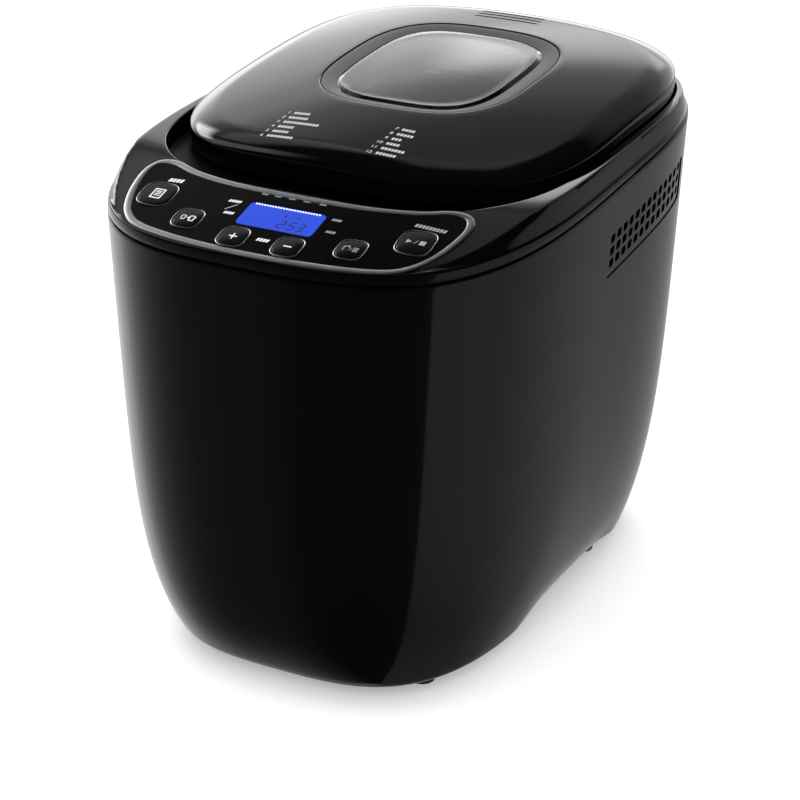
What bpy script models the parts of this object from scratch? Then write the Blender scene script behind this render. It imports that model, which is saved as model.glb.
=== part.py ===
"""Bread machine for one vertical-bail pan: casing, lid, control panel, oven, pan and belt drive.

Metres, +Z up. The front faces -Y and the origin is on the floor, under the middle of the whole
machine, hinge included. The dimensions below are measured from the middle of the casing.
"""

import math

import bmesh
import bpy
from mathutils import Matrix, Vector

# ---------------------------------------------------------------- driving dimensions
CASE_HALF_WIDTH = 0.135
CASE_FRONT = 0.175
CASE_BACK = 0.175
PARTING_HEIGHT = 0.274
PARTING_SLOPE = 0.0594
SHELL_WALL = 0.0025
SHELL_BOTTOM = 0.0085
SHELL_LIP = 0.0045
ARCH_RISE = 0.0085
ARCH_MIDDLE_Y = 0.022
ARCH_HALF_LENGTH = 0.075
SIDE_TAPER = (0.104, 0.1319, 5.25)
FRONT_TAPER = (0.010, 0.1277, 6.76)
BACK_TAPER = (0.033, 0.030, 6.0)
FRONT_SQUARENESS = 3.14
BACK_SQUARENESS = 4.4

TOUCH_GAP = 0.0003
PARTING_GAP = 0.0006
RUNNING_CLEARANCE = 0.0003
KEY_CLEARANCE = 0.0004

RIM_HEIGHT = 0.0052
RIM_HEIGHT_BACK = 0.0018
RIM_RADIUS = 0.002
SIDE_BAND_SLOPE = 1.9
PANEL_SLOPE = 0.29
PANEL_CROWN = 0.30
PANEL_HEIGHT = PARTING_HEIGHT + 0.0076
PANEL_HEIGHT_Y = -CASE_FRONT + 0.0497
CREST_SIDE_HEIGHT = PARTING_HEIGHT + 0.0175
CREST_SIDE_SLOPE = 0.032
CREST_BLEND = 0.002
DECK_SIDE_BAND = 0.0085
DECK_BACK_BAND = 0.0053
PANEL_DEPTH = 0.0635
CREST_HALF_WIDTH = CASE_HALF_WIDTH - DECK_SIDE_BAND
CREST_FRONT_Y = -CASE_FRONT + PANEL_DEPTH
CREST_BACK_Y = CASE_BACK - DECK_BACK_BAND
CREST_FRONT_SQUARENESS = 3.5
CREST_BACK_SQUARENESS = 4.2
DECK_WALL = 0.0023
RECESS_FLOOR = PARTING_HEIGHT + 0.0045
RECESS_INSET = 0.0007

LID_SIDE_GAP = 0.0015
LID_FINGER_GAP = 0.0218
LID_BACK_GAP = 0.0039
LID_HALF_WIDTH = CREST_HALF_WIDTH - LID_SIDE_GAP
LID_FRONT_Y = CREST_FRONT_Y + LID_FINGER_GAP
LID_BACK_Y = CREST_BACK_Y - LID_BACK_GAP
LID_FRONT_SQUARENESS = 3.1
LID_BACK_SQUARENESS = 4.1
LID_HEIGHT = PARTING_HEIGHT + 0.0377
LID_SLOPE = 0.1028
LID_BACK_FALL = 0.00856
LID_SIDE_FALL = 0.0104
LID_CURVE_Y = LID_BACK_FALL / LID_BACK_Y**2
LID_CURVE_X = LID_SIDE_FALL / LID_HALF_WIDTH**2
LID_EDGE_DROP = 0.0052
LID_EDGE_WIDTH = 0.016
LID_WALL = 0.0028
LID_SKIRT_BOTTOM = RECESS_FLOOR + 0.0035

WINDOW_HALF_WIDTH = 0.0619
WINDOW_FRONT_Y = -0.0205
WINDOW_BACK_Y = 0.1184
WINDOW_SQUARENESS = (2.8, 3.3)
GLASS_HALF_WIDTH = 0.0513
GLASS_FRONT_Y = -0.0122
GLASS_BACK_Y = 0.1096
GLASS_SQUARENESS = (3.1, 3.6)
BEZEL_DEPTH = 0.0022
GLASS_THICKNESS = 0.003
BEZEL_WALL = 0.0016
INNER_PANEL_Z = RECESS_FLOOR + 0.0083
INNER_PANEL_THICKNESS = 0.0012

HINGE_BARREL_RADIUS = 0.009
HINGE_Y = CASE_BACK + HINGE_BARREL_RADIUS + 0.002
HINGE_Z = PARTING_HEIGHT + 0.022
HINGE_HALF_WIDTH = 0.0385
HINGE_PIN_RADIUS = 0.0019
HINGE_EAR = 0.0045

CHAMBER_HALF_WIDTH = 0.0945
CHAMBER_HALF_DEPTH = 0.098
OVEN_Y = 0.036
CHAMBER_FLOOR = 0.062
CHAMBER_WALL = 0.0012
CHAMBER_TOP = RECESS_FLOOR - 0.0020
CHAMBER_SQUARENESS = 5.0
SENSOR_Z = 0.120
ELEMENT_Z = 0.080
ELEMENT_RADIUS = 0.0033
ELEMENT_HALF_GAP = 0.022
ELEMENT_LOOP = (0.082, 0.0880, 0.030)
ELEMENT_TAIL = 0.014
ELEMENT_BEND = 0.008

PAN_HALF_WIDTH = 0.066
PAN_HALF_DEPTH = 0.086
PAN_BOTTOM = 0.088
PAN_TOP = 0.236
PAN_WALL = 0.0014
PAN_RIM = 0.005
PAN_SQUARENESS = 6.0
HANDLE_ARM = 0.078
HANDLE_RADIUS = 0.0021
HANDLE_PIVOT_Z = PAN_TOP + 0.0070
PAN_SEAT_RADIUS = 0.0270
PAN_SEAT_WALL = 0.0022
PAN_SEAT_FLANGE = 0.0090
SHAFT_WING = (0.0665, 0.0745)
WING_REACH = 0.013
WING_HALF_THICKNESS = 0.0025

BASE_PLATE_BOTTOM = 0.0215
BASE_PLATE_THICKNESS = 0.003
FOOT_RADIUS = 0.008
FOOT_HEIGHT = 0.0065
FRONT_FEET = (0.071, -0.106)
BACK_FEET = (0.085, 0.084)
LEG_RADIUS = 0.005
LEG_REACH = (0.070, 0.075)
SCREW_HEAD_RADIUS = 0.0040
SCREW_HEAD_HEIGHT = 0.0022
GLAND_RADIUS = 0.0075
GLAND_X = -0.045
GLAND_Z = 0.055
GLAND_INSIDE = (GLAND_X, CASE_BACK - 0.030, GLAND_Z)
GLAND_OUTSIDE = (GLAND_X, CASE_BACK + 0.010, GLAND_Z)

BELT_BOTTOM = 0.033
BELT_WIDTH = 0.009
BELT_THICKNESS = 0.0016
LARGE_PULLEY_RADIUS = 0.042
SMALL_PULLEY_RADIUS = 0.009
PULLEY_FLANGE = 0.0016
SHAFT_RADIUS = 0.004
MOTOR_Y = -CASE_FRONT + 0.060
MOTOR_RADIUS = 0.029
MOTOR_BOTTOM = 0.0705
MOTOR_TOP = MOTOR_BOTTOM + 0.0695
MOTOR_SHAFT_RADIUS = 0.003
BRACKET_TOP = MOTOR_BOTTOM - 0.0005
BRACKET_THICKNESS = 0.003

DISPLAY_HALF_WIDTH = 0.0235
DISPLAY_HALF_DEPTH = 0.0103
DISPLAY_Y = -CASE_FRONT + 0.0400
PANEL_HALF_WIDTH = CASE_HALF_WIDTH - 0.0325
SMALL_KEY = 0.0152
LARGE_KEY = 0.0192
KEY_TRAVEL_ROOM = 0.0016
KEY_PROUD = 0.0011
KEYS = {
    "button_menu": (-0.78 * PANEL_HALF_WIDTH, -CASE_FRONT + 0.0432, LARGE_KEY),
    "button_crust": (-0.49 * PANEL_HALF_WIDTH, -CASE_FRONT + 0.0268, SMALL_KEY),
    "button_time_up": (-0.163 * PANEL_HALF_WIDTH, -CASE_FRONT + 0.0185, SMALL_KEY),
    "button_time_down": (0.163 * PANEL_HALF_WIDTH, -CASE_FRONT + 0.0185, SMALL_KEY),
    "button_loaf_size": (0.49 * PANEL_HALF_WIDTH, -CASE_FRONT + 0.0268, SMALL_KEY),
    "button_start": (0.78 * PANEL_HALF_WIDTH, -CASE_FRONT + 0.0432, LARGE_KEY),
}
PANEL_HALF_OUTLINE = (
    (0.000, 0.0617),
    (0.390, 0.0632),
    (0.663, 0.0682),
    (0.839, 0.0747),
    (0.951, 0.0735),
    (1.000, 0.0640),
    (0.985, 0.0490),
    (0.941, 0.0350),
    (0.868, 0.0230),
    (0.751, 0.0145),
    (0.527, 0.0090),
    (0.263, 0.0060),
    (0.000, 0.0050),
)
BOARD_DEPTH = 0.0150
BOARD_MARGIN = 0.0120
TRIM_WIDTH = 0.0042
TRIM_PROUD = 0.0008
OVERLAY_PROUD = 0.0003
PANEL_SEAT = 0.0014

VENT_FRONT_Y = -0.002
VENT_BACK_Y = 0.116
VENT_BOTTOM = PARTING_HEIGHT - 0.0525
VENT_HEIGHT = 0.027
VENT_SLOPE = 0.10
VENT_COLUMNS = 13
VENT_ROWS = 3
VENT_PITCH_Y = 0.0086
VENT_PITCH_Z = 0.0074
VENT_HOLE = (0.0046, 0.0042)

RING_POINTS = 36
PANEL_TILT = math.atan(PANEL_SLOPE)

# ---------------------------------------------------------------- scene and materials
for old in list(bpy.data.objects):
    bpy.data.objects.remove(old, do_unlink=True)

PARTS = bpy.data.collections.new("bread_machine")
CUTTERS = bpy.data.collections.new("cutters")
for group in (PARTS, CUTTERS):
    bpy.context.scene.collection.children.link(group)


def finish(name, colour, roughness, metallic=0.0):
    """A Principled material with one colour."""
    made = bpy.data.materials.new(name)
    made.use_nodes = True
    shader = made.node_tree.nodes["Principled BSDF"]
    shader.inputs["Base Color"].default_value = (*colour, 1.0)
    shader.inputs["Roughness"].default_value = roughness
    shader.inputs["Metallic"].default_value = metallic
    return made


GLOSS_BLACK = finish("gloss_black", (0.008, 0.008, 0.009), 0.12)
MATT_BLACK = finish("matt_black", (0.02, 0.02, 0.02), 0.6)
GREY_PLASTIC = finish("grey_plastic", (0.11, 0.11, 0.12), 0.4)
SILVER = finish("silver_trim", (0.45, 0.47, 0.50), 0.3, 0.8)
GLASS = finish("window_glass", (0.75, 0.77, 0.78), 0.05)
DISPLAY_BLUE = finish("display_blue", (0.03, 0.09, 0.85), 0.2)
KEY_BLACK = finish("key_black", (0.012, 0.012, 0.014), 0.15)
RUBBER = finish("rubber", (0.015, 0.015, 0.015), 0.8)
SILICONE = finish("silicone", (0.18, 0.17, 0.16), 0.6)
STEEL = finish("steel", (0.55, 0.55, 0.56), 0.35, 1.0)
GALVANISED = finish("galvanised_sheet", (0.50, 0.51, 0.52), 0.45, 0.9)
NON_STICK = finish("non_stick_coating", (0.035, 0.033, 0.032), 0.45)
CAST_ALUMINIUM = finish("cast_aluminium", (0.58, 0.58, 0.59), 0.5, 0.9)
BOARD_GREEN = finish("circuit_board", (0.02, 0.12, 0.04), 0.5)
BRASS = finish("brass", (0.65, 0.45, 0.15), 0.35, 1.0)


# ---------------------------------------------------------------- modelling helpers
def show(name, bm, material, group=PARTS):
    """Puts a bmesh into a named object."""
    bmesh.ops.recalc_face_normals(bm, faces=bm.faces)
    mesh = bpy.data.meshes.new(name)
    bm.to_mesh(mesh)
    bm.free()
    if material is not None:
        mesh.materials.append(material)
    made = bpy.data.objects.new(name, mesh)
    group.objects.link(made)
    if group is CUTTERS:
        made.hide_render = True
        made.display_type = "WIRE"
    return made


def smooth(made, angle=40.0):
    """Smooth shading with sharp edges past an angle."""
    made.data.shade_smooth()
    made.data.set_sharp_from_angle(angle=math.radians(angle))
    return made


def box_mesh(low, high):
    """A bmesh box between two corners."""
    bm = bmesh.new()
    bmesh.ops.create_cube(bm, size=1.0)
    low, high = Vector(low), Vector(high)
    bmesh.ops.scale(bm, vec=high - low, verts=bm.verts)
    bmesh.ops.translate(bm, vec=(low + high) / 2, verts=bm.verts)
    return bm


def box(name, low, high, material, group=PARTS):
    """A box between two corners."""
    return show(name, box_mesh(low, high), material, group)


def rod_mesh(radius, start, end, sides=16):
    """A bmesh cylinder between two points."""
    start, end = Vector(start), Vector(end)
    bm = bmesh.new()
    bmesh.ops.create_cone(
        bm, cap_ends=True, segments=sides, radius1=radius, radius2=radius, depth=(end - start).length
    )
    turn = Vector((0, 0, 1)).rotation_difference(end - start).to_matrix().to_4x4()
    bmesh.ops.transform(bm, matrix=Matrix.Translation((start + end) / 2) @ turn, verts=bm.verts)
    return bm


def rod(name, radius, start, end, material, sides=16, group=PARTS):
    """A cylinder between two points."""
    return smooth(show(name, rod_mesh(radius, start, end, sides), material, group))


def turned(name, profile, centre, material, steps=20, closed=True):
    """A profile of (radius, height) turned about the vertical through centre.

    An open profile starts and ends on the axis.
    """
    bm = bmesh.new()
    verts = [bm.verts.new((radius, 0, height)) for radius, height in profile]
    pairs = list(zip(verts, verts[1:]))
    if closed:
        pairs.append((verts[-1], verts[0]))
    edges = [bm.edges.new(pair) for pair in pairs]
    bmesh.ops.spin(
        bm,
        geom=verts + edges,
        cent=(0, 0, 0),
        axis=(0, 0, 1),
        angle=2 * math.pi,
        steps=steps,
        use_merge=True,
    )
    bmesh.ops.remove_doubles(bm, verts=bm.verts, dist=1e-6)
    bmesh.ops.translate(bm, vec=centre, verts=bm.verts)
    return smooth(show(name, bm, material))


def loft(bm, rings, hollow):
    """Bridges rings of equal count. A hollow loft joins last to first, a solid one is capped."""
    made = [[bm.verts.new(point) for point in ring] for ring in rings]
    pairs = list(zip(made, made[1:]))
    if hollow:
        pairs.append((made[-1], made[0]))
    for here, there in pairs:
        for i in range(len(here)):
            j = (i + 1) % len(here)
            bm.faces.new((here[i], here[j], there[j], there[i]))
    if not hollow:
        for ring in (made[0], made[-1]):
            middle = bm.verts.new(sum((v.co for v in ring), Vector()) / len(ring))
            for i in range(len(ring)):
                bm.faces.new((ring[i], ring[(i + 1) % len(ring)], middle))


def lofted(name, rings, material, hollow=False, group=PARTS):
    """An object made of one loft."""
    bm = bmesh.new()
    loft(bm, rings, hollow)
    return smooth(show(name, bm, material, group))


def combine(made, other, operation):
    """A Boolean modifier with the exact solver."""
    step = made.modifiers.new(operation.lower(), "BOOLEAN")
    step.operation = operation
    step.object = other
    step.solver = "EXACT"
    return made


def cut(made, cutter):
    """Takes a cutter out of a piece."""
    return combine(made, cutter, "DIFFERENCE")


def add(made, other):
    """Joins a hidden piece to a visible one."""
    return combine(made, other, "UNION")


# ---------------------------------------------------------------- outlines and surfaces
def sign_power(value, power):
    return math.copysign(abs(value) ** power, value)


def outline(half_width, centre_y, front, back, front_square, back_square, count=RING_POINTS):
    """Plan points of a rounded outline, anticlockwise from +X."""
    points = []
    for step in range(count):
        turn = 2 * math.pi * step / count
        square = front_square if math.sin(turn) < 0 else back_square
        reach = front if math.sin(turn) < 0 else back
        x = half_width * sign_power(math.cos(turn), 2 / square)
        y = centre_y + reach * sign_power(math.sin(turn), 2 / square)
        points.append((x, y))
    return points


def inset(points, distance):
    """Moves an anticlockwise outline inwards by a distance."""
    moved = []
    count = len(points)
    for i, (x, y) in enumerate(points):
        before, after = points[i - 1], points[(i + 1) % count]
        along = Vector((after[0] - before[0], after[1] - before[1])).normalized()
        moved.append((x - along.y * distance, y + along.x * distance))
    return moved


def at_height(points, height):
    """Gives plan points a height: a number, or a function of x and y."""
    if callable(height):
        return [Vector((x, y, height(x, y))) for x, y in points]
    return [Vector((x, y, height)) for x, y in points]


def parting_z(x, y):
    """Height of the line between casing and deck."""
    return PARTING_HEIGHT + PARTING_SLOPE * y


def panel_z(x, y):
    """Height of the sloping control panel."""
    return PANEL_HEIGHT + PANEL_SLOPE * (y - PANEL_HEIGHT_Y) - PANEL_CROWN * x * x


def crest_z(x, y):
    """Height of the deck's inner edge: the panel in front, a gentle rise along the sides."""
    front = panel_z(x, y)
    side = CREST_SIDE_HEIGHT + CREST_SIDE_SLOPE * y
    return (front + side - math.sqrt((front - side) ** 2 + CREST_BLEND**2)) / 2


def rim_z(x, y):
    """Height of the deck's outer rim, lower towards the back."""
    share = min(max((y + 0.10) / 0.27, 0.0), 1.0)
    return parting_z(x, y) + RIM_HEIGHT + (RIM_HEIGHT_BACK - RIM_HEIGHT) * share


def lid_z(x, y):
    """Height of the lid's dome, before its edge rolls down."""
    return LID_HEIGHT + LID_SLOPE * y - LID_CURVE_Y * y * y - LID_CURVE_X * x * x


def taper(values, depth):
    straight, curved, power = values
    return 1 - straight * depth - curved * depth**power


def casing_outline(depth, count=RING_POINTS):
    """Plan outline of the casing, from 0 at the parting line to 1 at the bottom."""
    return outline(
        CASE_HALF_WIDTH * taper(SIDE_TAPER, depth),
        0.0,
        CASE_FRONT * taper(FRONT_TAPER, depth),
        CASE_BACK * taper(BACK_TAPER, depth),
        FRONT_SQUARENESS,
        BACK_SQUARENESS,
        count,
    )


def arch(x, y, half_width):
    """How far the casing's lower edge rises along each side."""
    along = (y - ARCH_MIDDLE_Y) / ARCH_HALF_LENGTH
    if abs(along) >= 1:
        return 0.0
    across = min(max((abs(x) / half_width - 0.70) / 0.22, 0.0), 1.0)
    return ARCH_RISE * (1 - along**4) ** 2 * across * across * (3 - 2 * across)


def casing_ring(depth, wall=0.0):
    """One ring of the casing in space."""
    top = casing_outline(0.0)
    here = casing_outline(depth)
    half_width = max(x for x, _ in here)
    low = max((depth - 0.85) / 0.15, 0.0) ** 2
    points = []
    for (x0, y0), (x, y) in zip(top, here):
        z = parting_z(x0, y0) * (1 - depth) + SHELL_BOTTOM * depth + low * arch(x, y, half_width)
        points.append((x, y, z))
    plan = inset([(x, y) for x, y, _ in points], wall) if wall else [(x, y) for x, y, _ in points]
    return [Vector((x, y, z)) for (x, y), (_, _, z) in zip(plan, points)]


def depth_at(height):
    """The casing's depth value at a height above the floor, at mid-length."""
    return (PARTING_HEIGHT - height) / (PARTING_HEIGHT - SHELL_BOTTOM)


def side_x(y, z):
    """Half width of the casing at a place on its flank."""
    depth = (parting_z(0, y) - z) / (parting_z(0, y) - SHELL_BOTTOM)
    square = FRONT_SQUARENESS if y < 0 else BACK_SQUARENESS
    reach = CASE_FRONT * taper(FRONT_TAPER, depth) if y < 0 else CASE_BACK * taper(BACK_TAPER, depth)
    return CASE_HALF_WIDTH * taper(SIDE_TAPER, depth) * (1 - abs(y / reach) ** square) ** (1 / square)


# ---------------------------------------------------------------- casing
def make_casing():
    """The one-piece shell, open above and below, with its lower edge turned in."""
    depths = (0.0, 0.30, 0.56, 0.75, 0.87, 0.93, 0.97, 0.985)
    rings = [casing_ring(depth) for depth in depths]
    rings.append(casing_ring(1.0, 0.0022))
    rings.append(casing_ring(1.0, SHELL_LIP))
    rings.append(casing_ring(0.985, SHELL_LIP))
    rings += [casing_ring(depth, SHELL_WALL) for depth in (0.95, 0.87, 0.75, 0.56, 0.30, 0.0)]
    shell = lofted("body_shell", rings, GLOSS_BLACK, hollow=True)
    for side in (-1, 1):
        cut(shell, vent_cutter("vent_window", side, 0.0, -0.02, 0.02))
    cut(shell, rod("gland_hole", GLAND_RADIUS + TOUCH_GAP, GLAND_INSIDE, GLAND_OUTSIDE, None, 24, CUTTERS))
    return shell


def make_cord_gland():
    """The flanged bush in the back wall where a cord would enter."""
    wall = CASE_BACK * taper(BACK_TAPER, depth_at(GLAND_Z)) * (
        1 - abs(GLAND_X / (CASE_HALF_WIDTH * taper(SIDE_TAPER, depth_at(GLAND_Z)))) ** BACK_SQUARENESS
    ) ** (1 / BACK_SQUARENESS)
    bore = 0.0037
    profile = [
        (bore, -0.008),
        (GLAND_RADIUS, -0.008),
        (GLAND_RADIUS, 0.0016),
        (GLAND_RADIUS + 0.003, 0.0016),
        (GLAND_RADIUS + 0.002, 0.0046),
        (bore + 0.0015, 0.0060),
        (bore, 0.0060),
    ]
    gland = turned("cord_gland", profile, (0, 0, 0), RUBBER, 24)
    turn = Matrix.Rotation(math.radians(-90), 4, "X")
    gland.data.transform(Matrix.Translation((GLAND_X, wall, GLAND_Z)) @ turn)
    return gland


def vent_corner(y, rise, side, proud):
    """A point on the flank, at a height above the vent's sloping lower edge."""
    z = VENT_BOTTOM + VENT_SLOPE * (y - VENT_FRONT_Y) + rise
    return Vector((side * (side_x(y, z) + proud), y, z))


def vent_patch(margin, inner, outer, side, columns=10, rows=3):
    """Rings round a curved patch of flank, for a loft from inside to outside."""
    low_y, high_y = VENT_FRONT_Y + margin, VENT_BACK_Y - margin
    low_z, high_z = margin, VENT_HEIGHT - margin
    edge = []
    for i in range(columns):
        edge.append((low_y + (high_y - low_y) * i / columns, low_z))
    for i in range(rows):
        edge.append((high_y, low_z + (high_z - low_z) * i / rows))
    for i in range(columns):
        edge.append((high_y + (low_y - high_y) * i / columns, high_z))
    for i in range(rows):
        edge.append((low_y, high_z + (low_z - high_z) * i / rows))
    return [[vent_corner(y, rise, side, proud) for y, rise in edge] for proud in (inner, outer)]


def vent_cutter(name, side, margin, inner, outer):
    """A cutter as big as the vent patch."""
    return lofted(f"{name}_{side}", vent_patch(margin, inner, outer, side), None, group=CUTTERS)


def make_vent_grille(name, side):
    """A curved insert with rows of square holes, flush with the flank."""
    columns, rows = 12, 2
    gap = TOUCH_GAP
    low_y, high_y = VENT_FRONT_Y + gap, VENT_BACK_Y - gap
    low_z, high_z = gap, VENT_HEIGHT - gap
    bm = bmesh.new()
    layers = []
    for proud in (-0.0003, -0.0022):
        grid = []
        for i in range(columns + 1):
            y = low_y + (high_y - low_y) * i / columns
            line = []
            for j in range(rows + 1):
                line.append(bm.verts.new(vent_corner(y, low_z + (high_z - low_z) * j / rows, side, proud)))
            grid.append(line)
        layers.append(grid)
    for grid in layers:
        for i in range(columns):
            for j in range(rows):
                bm.faces.new((grid[i][j], grid[i + 1][j], grid[i + 1][j + 1], grid[i][j + 1]))
    front, back = layers
    for i in range(columns):
        for j in (0, rows):
            bm.faces.new((front[i][j], front[i + 1][j], back[i + 1][j], back[i][j]))
    for j in range(rows):
        for i in (0, columns):
            bm.faces.new((front[i][j], front[i][j + 1], back[i][j + 1], back[i][j]))
    grille = show(name, bm, GLOSS_BLACK)
    holes = bmesh.new()
    first_y = (VENT_FRONT_Y + VENT_BACK_Y - VENT_PITCH_Y * (VENT_COLUMNS - 1)) / 2
    first_z = VENT_HEIGHT / 2 + 0.0015 - VENT_PITCH_Z * (VENT_ROWS - 1) / 2
    for column in range(VENT_COLUMNS):
        y = first_y + column * VENT_PITCH_Y
        for row in range(VENT_ROWS):
            z = VENT_BOTTOM + VENT_SLOPE * (y - VENT_FRONT_Y) + first_z + row * VENT_PITCH_Z
            x = side * side_x(y, z)
            size = Vector((0.012, VENT_HOLE[0], VENT_HOLE[1])) / 2
            middle = Vector((x, y, z))
            piece = bmesh.ops.create_cube(holes, size=1.0)["verts"]
            bmesh.ops.scale(holes, vec=size * 2, verts=piece)
            bmesh.ops.translate(holes, vec=middle, verts=piece)
    return cut(grille, show(f"{name}_holes", holes, None, CUTTERS))


def make_base_plate():
    """The floor of the casing, with a post for each foot."""
    top = BASE_PLATE_BOTTOM + BASE_PLATE_THICKNESS
    plan = inset(casing_outline(0.985, 28), SHELL_LIP + 0.0018)
    plate = lofted("base_plate", [at_height(plan, BASE_PLATE_BOTTOM), at_height(plan, top)], MATT_BLACK)
    for index, (x, y) in enumerate(foot_places()):
        post_foot = (x, y, FOOT_HEIGHT + TOUCH_GAP)
        post_head = (x, y, BASE_PLATE_BOTTOM + 0.001)
        add(plate, rod(f"post_{index}", FOOT_RADIUS + 0.0005, post_foot, post_head, None, 20, CUTTERS))
    cut(plate, rod("shaft_well", 0.007, (0, OVEN_Y, 0), (0, OVEN_Y, 0.03), None, 20, CUTTERS))
    return plate


def foot_places():
    """Left and right, front and back."""
    places = []
    for x, y in (FRONT_FEET, BACK_FEET):
        places += [(-x, y), (x, y)]
    return places


def make_feet():
    """Four rubber pads under the posts."""
    names = ("foot_front_left", "foot_front_right", "foot_back_left", "foot_back_right")
    for name, (x, y) in zip(names, foot_places()):
        profile = [
            (0, 0),
            (FOOT_RADIUS - 0.0015, 0),
            (FOOT_RADIUS - 0.0004, 0.0010),
            (FOOT_RADIUS, FOOT_HEIGHT),
            (0, FOOT_HEIGHT),
        ]
        turned(name, profile, (x, y, 0), RUBBER, 20, closed=False)


# ---------------------------------------------------------------- deck
def crest_outline(distance=0.0):
    """Plan of the deck's inner edge, moved inwards by a distance."""
    centre = (CREST_FRONT_Y + CREST_BACK_Y) / 2
    reach = (CREST_BACK_Y - CREST_FRONT_Y) / 2
    plan = outline(CREST_HALF_WIDTH, centre, reach, reach, CREST_FRONT_SQUARENESS, CREST_BACK_SQUARENESS)
    return inset(plan, distance) if distance else plan


def mouth_outline(extra):
    """Plan of the oven's mouth, grown by an amount."""
    return outline(
        CHAMBER_HALF_WIDTH + extra,
        OVEN_Y,
        CHAMBER_HALF_DEPTH + extra,
        CHAMBER_HALF_DEPTH + extra,
        CHAMBER_SQUARENESS,
        CHAMBER_SQUARENESS,
    )


def deck_ring(crown, crest, share, drop=0.0):
    """A ring of the deck's top face, part of the way from its rim to its inner edge."""
    points = []
    for start, end in zip(crown, crest):
        x, y = start.x + (end.x - start.x) * share, start.y + (end.y - start.y) * share
        away = math.hypot(x - start.x, y - start.y)
        face, band = crest_z(x, y), start.z + SIDE_BAND_SLOPE * away
        height = (face + band - math.sqrt((face - band) ** 2 + CREST_BLEND**2)) / 2
        points.append(Vector((x, y, height - drop)))
    return points


def make_deck():
    """The top moulding: rim, sloping panel, lid recess and the ledge round the oven's mouth."""
    edge = casing_outline(0.0)
    rim = [Vector((x, y, rim_z(x, y))) for x, y in inset(edge, 0.0006)]
    crown = [Vector((x, y, rim_z(x, y) + RIM_RADIUS * 0.8)) for x, y in inset(edge, RIM_RADIUS)]
    crest = at_height(crest_outline(), crest_z)
    lip = [Vector((x, y, crest_z(x, y) - 0.0005)) for x, y in crest_outline(RECESS_INSET)]
    shares = (0.05, 0.12, 0.25, 0.45, 0.7)
    rings = [[Vector((x, y, parting_z(x, y) + PARTING_GAP)) for x, y in inset(edge, 0.0002)], rim, crown]
    rings += [deck_ring(crown, crest, share) for share in shares]
    rings += [
        crest,
        lip,
        at_height(crest_outline(RECESS_INSET + 0.0003), RECESS_FLOOR),
        at_height(mouth_outline(0.004), RECESS_FLOOR),
        at_height(mouth_outline(0.004), RECESS_FLOOR - DECK_WALL),
        at_height(crest_outline(RECESS_INSET - DECK_WALL), RECESS_FLOOR - DECK_WALL),
        [Vector((x, y, crest_z(x, y) - 0.0050)) for x, y in crest_outline(-0.0012)],
        deck_ring(crown, crest, 0.45, 0.0044),
        [Vector((x, y, parting_z(x, y) + PARTING_GAP)) for x, y in inset(edge, 0.0034)],
    ]
    deck = lofted("top_deck", rings, GLOSS_BLACK, hollow=True)
    pocket = panel_outline(-TOUCH_GAP)
    cut(deck, panel_solid("panel_pocket", pocket, -PANEL_SEAT - TOUCH_GAP, 0.010, None, CUTTERS))
    notch = HINGE_HALF_WIDTH + 0.0012
    low = (-notch, LID_BACK_Y - 0.002, HINGE_Z - 0.0058)
    high = (notch, CASE_BACK + 0.02, HINGE_Z + 0.03)
    cut(deck, box("hinge_notch", low, high, None, group=CUTTERS))
    cut(deck, display_block("display_well", 0.0034, -0.02, 0.02, None, CUTTERS))
    for name, (x, y, size) in KEYS.items():
        cut(deck, key_block(f"{name}_well", x, y, size + 2 * KEY_CLEARANCE, -0.02, 0.02, None, CUTTERS))
    return deck


# ---------------------------------------------------------------- control panel
# Across as a share of the panel's half width, and back from the casing's front.


def panel_outline(distance=0.0, steps=2):
    """Smooth closed plan of the control panel through its half outline and the mirror of it."""
    half = [(share * PANEL_HALF_WIDTH, -CASE_FRONT + back) for share, back in PANEL_HALF_OUTLINE]
    loop = [Vector(p) for p in reversed(half)]
    loop += [Vector((-x, y)) for x, y in half[1:-1]]
    count = len(loop)
    points = []
    for i in range(count):
        p0, p1, p2, p3 = (loop[(i + k) % count] for k in (-1, 0, 1, 2))
        for step in range(steps):
            t = step / steps
            bend = 2 * p0 - 5 * p1 + 4 * p2 - p3
            twist = 3 * p1 - 3 * p2 + p3 - p0
            point = 0.5 * (2 * p1 + (p2 - p0) * t + bend * t * t + twist * t**3)
            points.append((point.x, point.y))
    return inset(points, distance) if distance else points


def panel_solid(name, plan, low, high, material, group=PARTS):
    """A plate that follows the panel's curve between two offsets from it, trimmed to a plan outline."""
    front, back = -CASE_FRONT - 0.005, CREST_FRONT_Y + 0.0215
    reach, columns = PANEL_HALF_WIDTH + 0.0075, 10
    sections = []
    for column in range(columns + 1):
        x = reach - 2 * reach * column / columns
        sections.append(
            [
                Vector((x, front, panel_z(x, front) + low)),
                Vector((x, back, panel_z(x, back) + low)),
                Vector((x, back, panel_z(x, back) + high)),
                Vector((x, front, panel_z(x, front) + high)),
            ]
        )
    bm = bmesh.new()
    loft(bm, sections, hollow=False)
    plate = show(name, bm, material, group)
    prism = bmesh.new()
    base = [prism.verts.new((x, y, PARTING_HEIGHT - 0.034)) for x, y in plan]
    wall = bmesh.ops.extrude_face_region(prism, geom=[prism.faces.new(base)])
    raised = [v for v in wall["geom"] if isinstance(v, bmesh.types.BMVert)]
    bmesh.ops.translate(prism, vec=(0, 0, 0.08), verts=raised)
    return combine(plate, show(f"{name}_plan", prism, None, CUTTERS), "INTERSECT")


def panel_frame(x, y):
    """A frame on the panel with its Z against the press direction."""
    return Matrix.Translation((x, y, panel_z(x, y))) @ Matrix.Rotation(PANEL_TILT, 4, "X")


def key_ring(x, y, size, offset, count=12):
    """A rounded square in the panel's frame."""
    place = panel_frame(x, y)
    plan = outline(size / 2, 0.0, size / 2, size / 2, 3.4, 3.4, count)
    return [place @ Vector((u, v, offset)) for u, v in plan]


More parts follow.
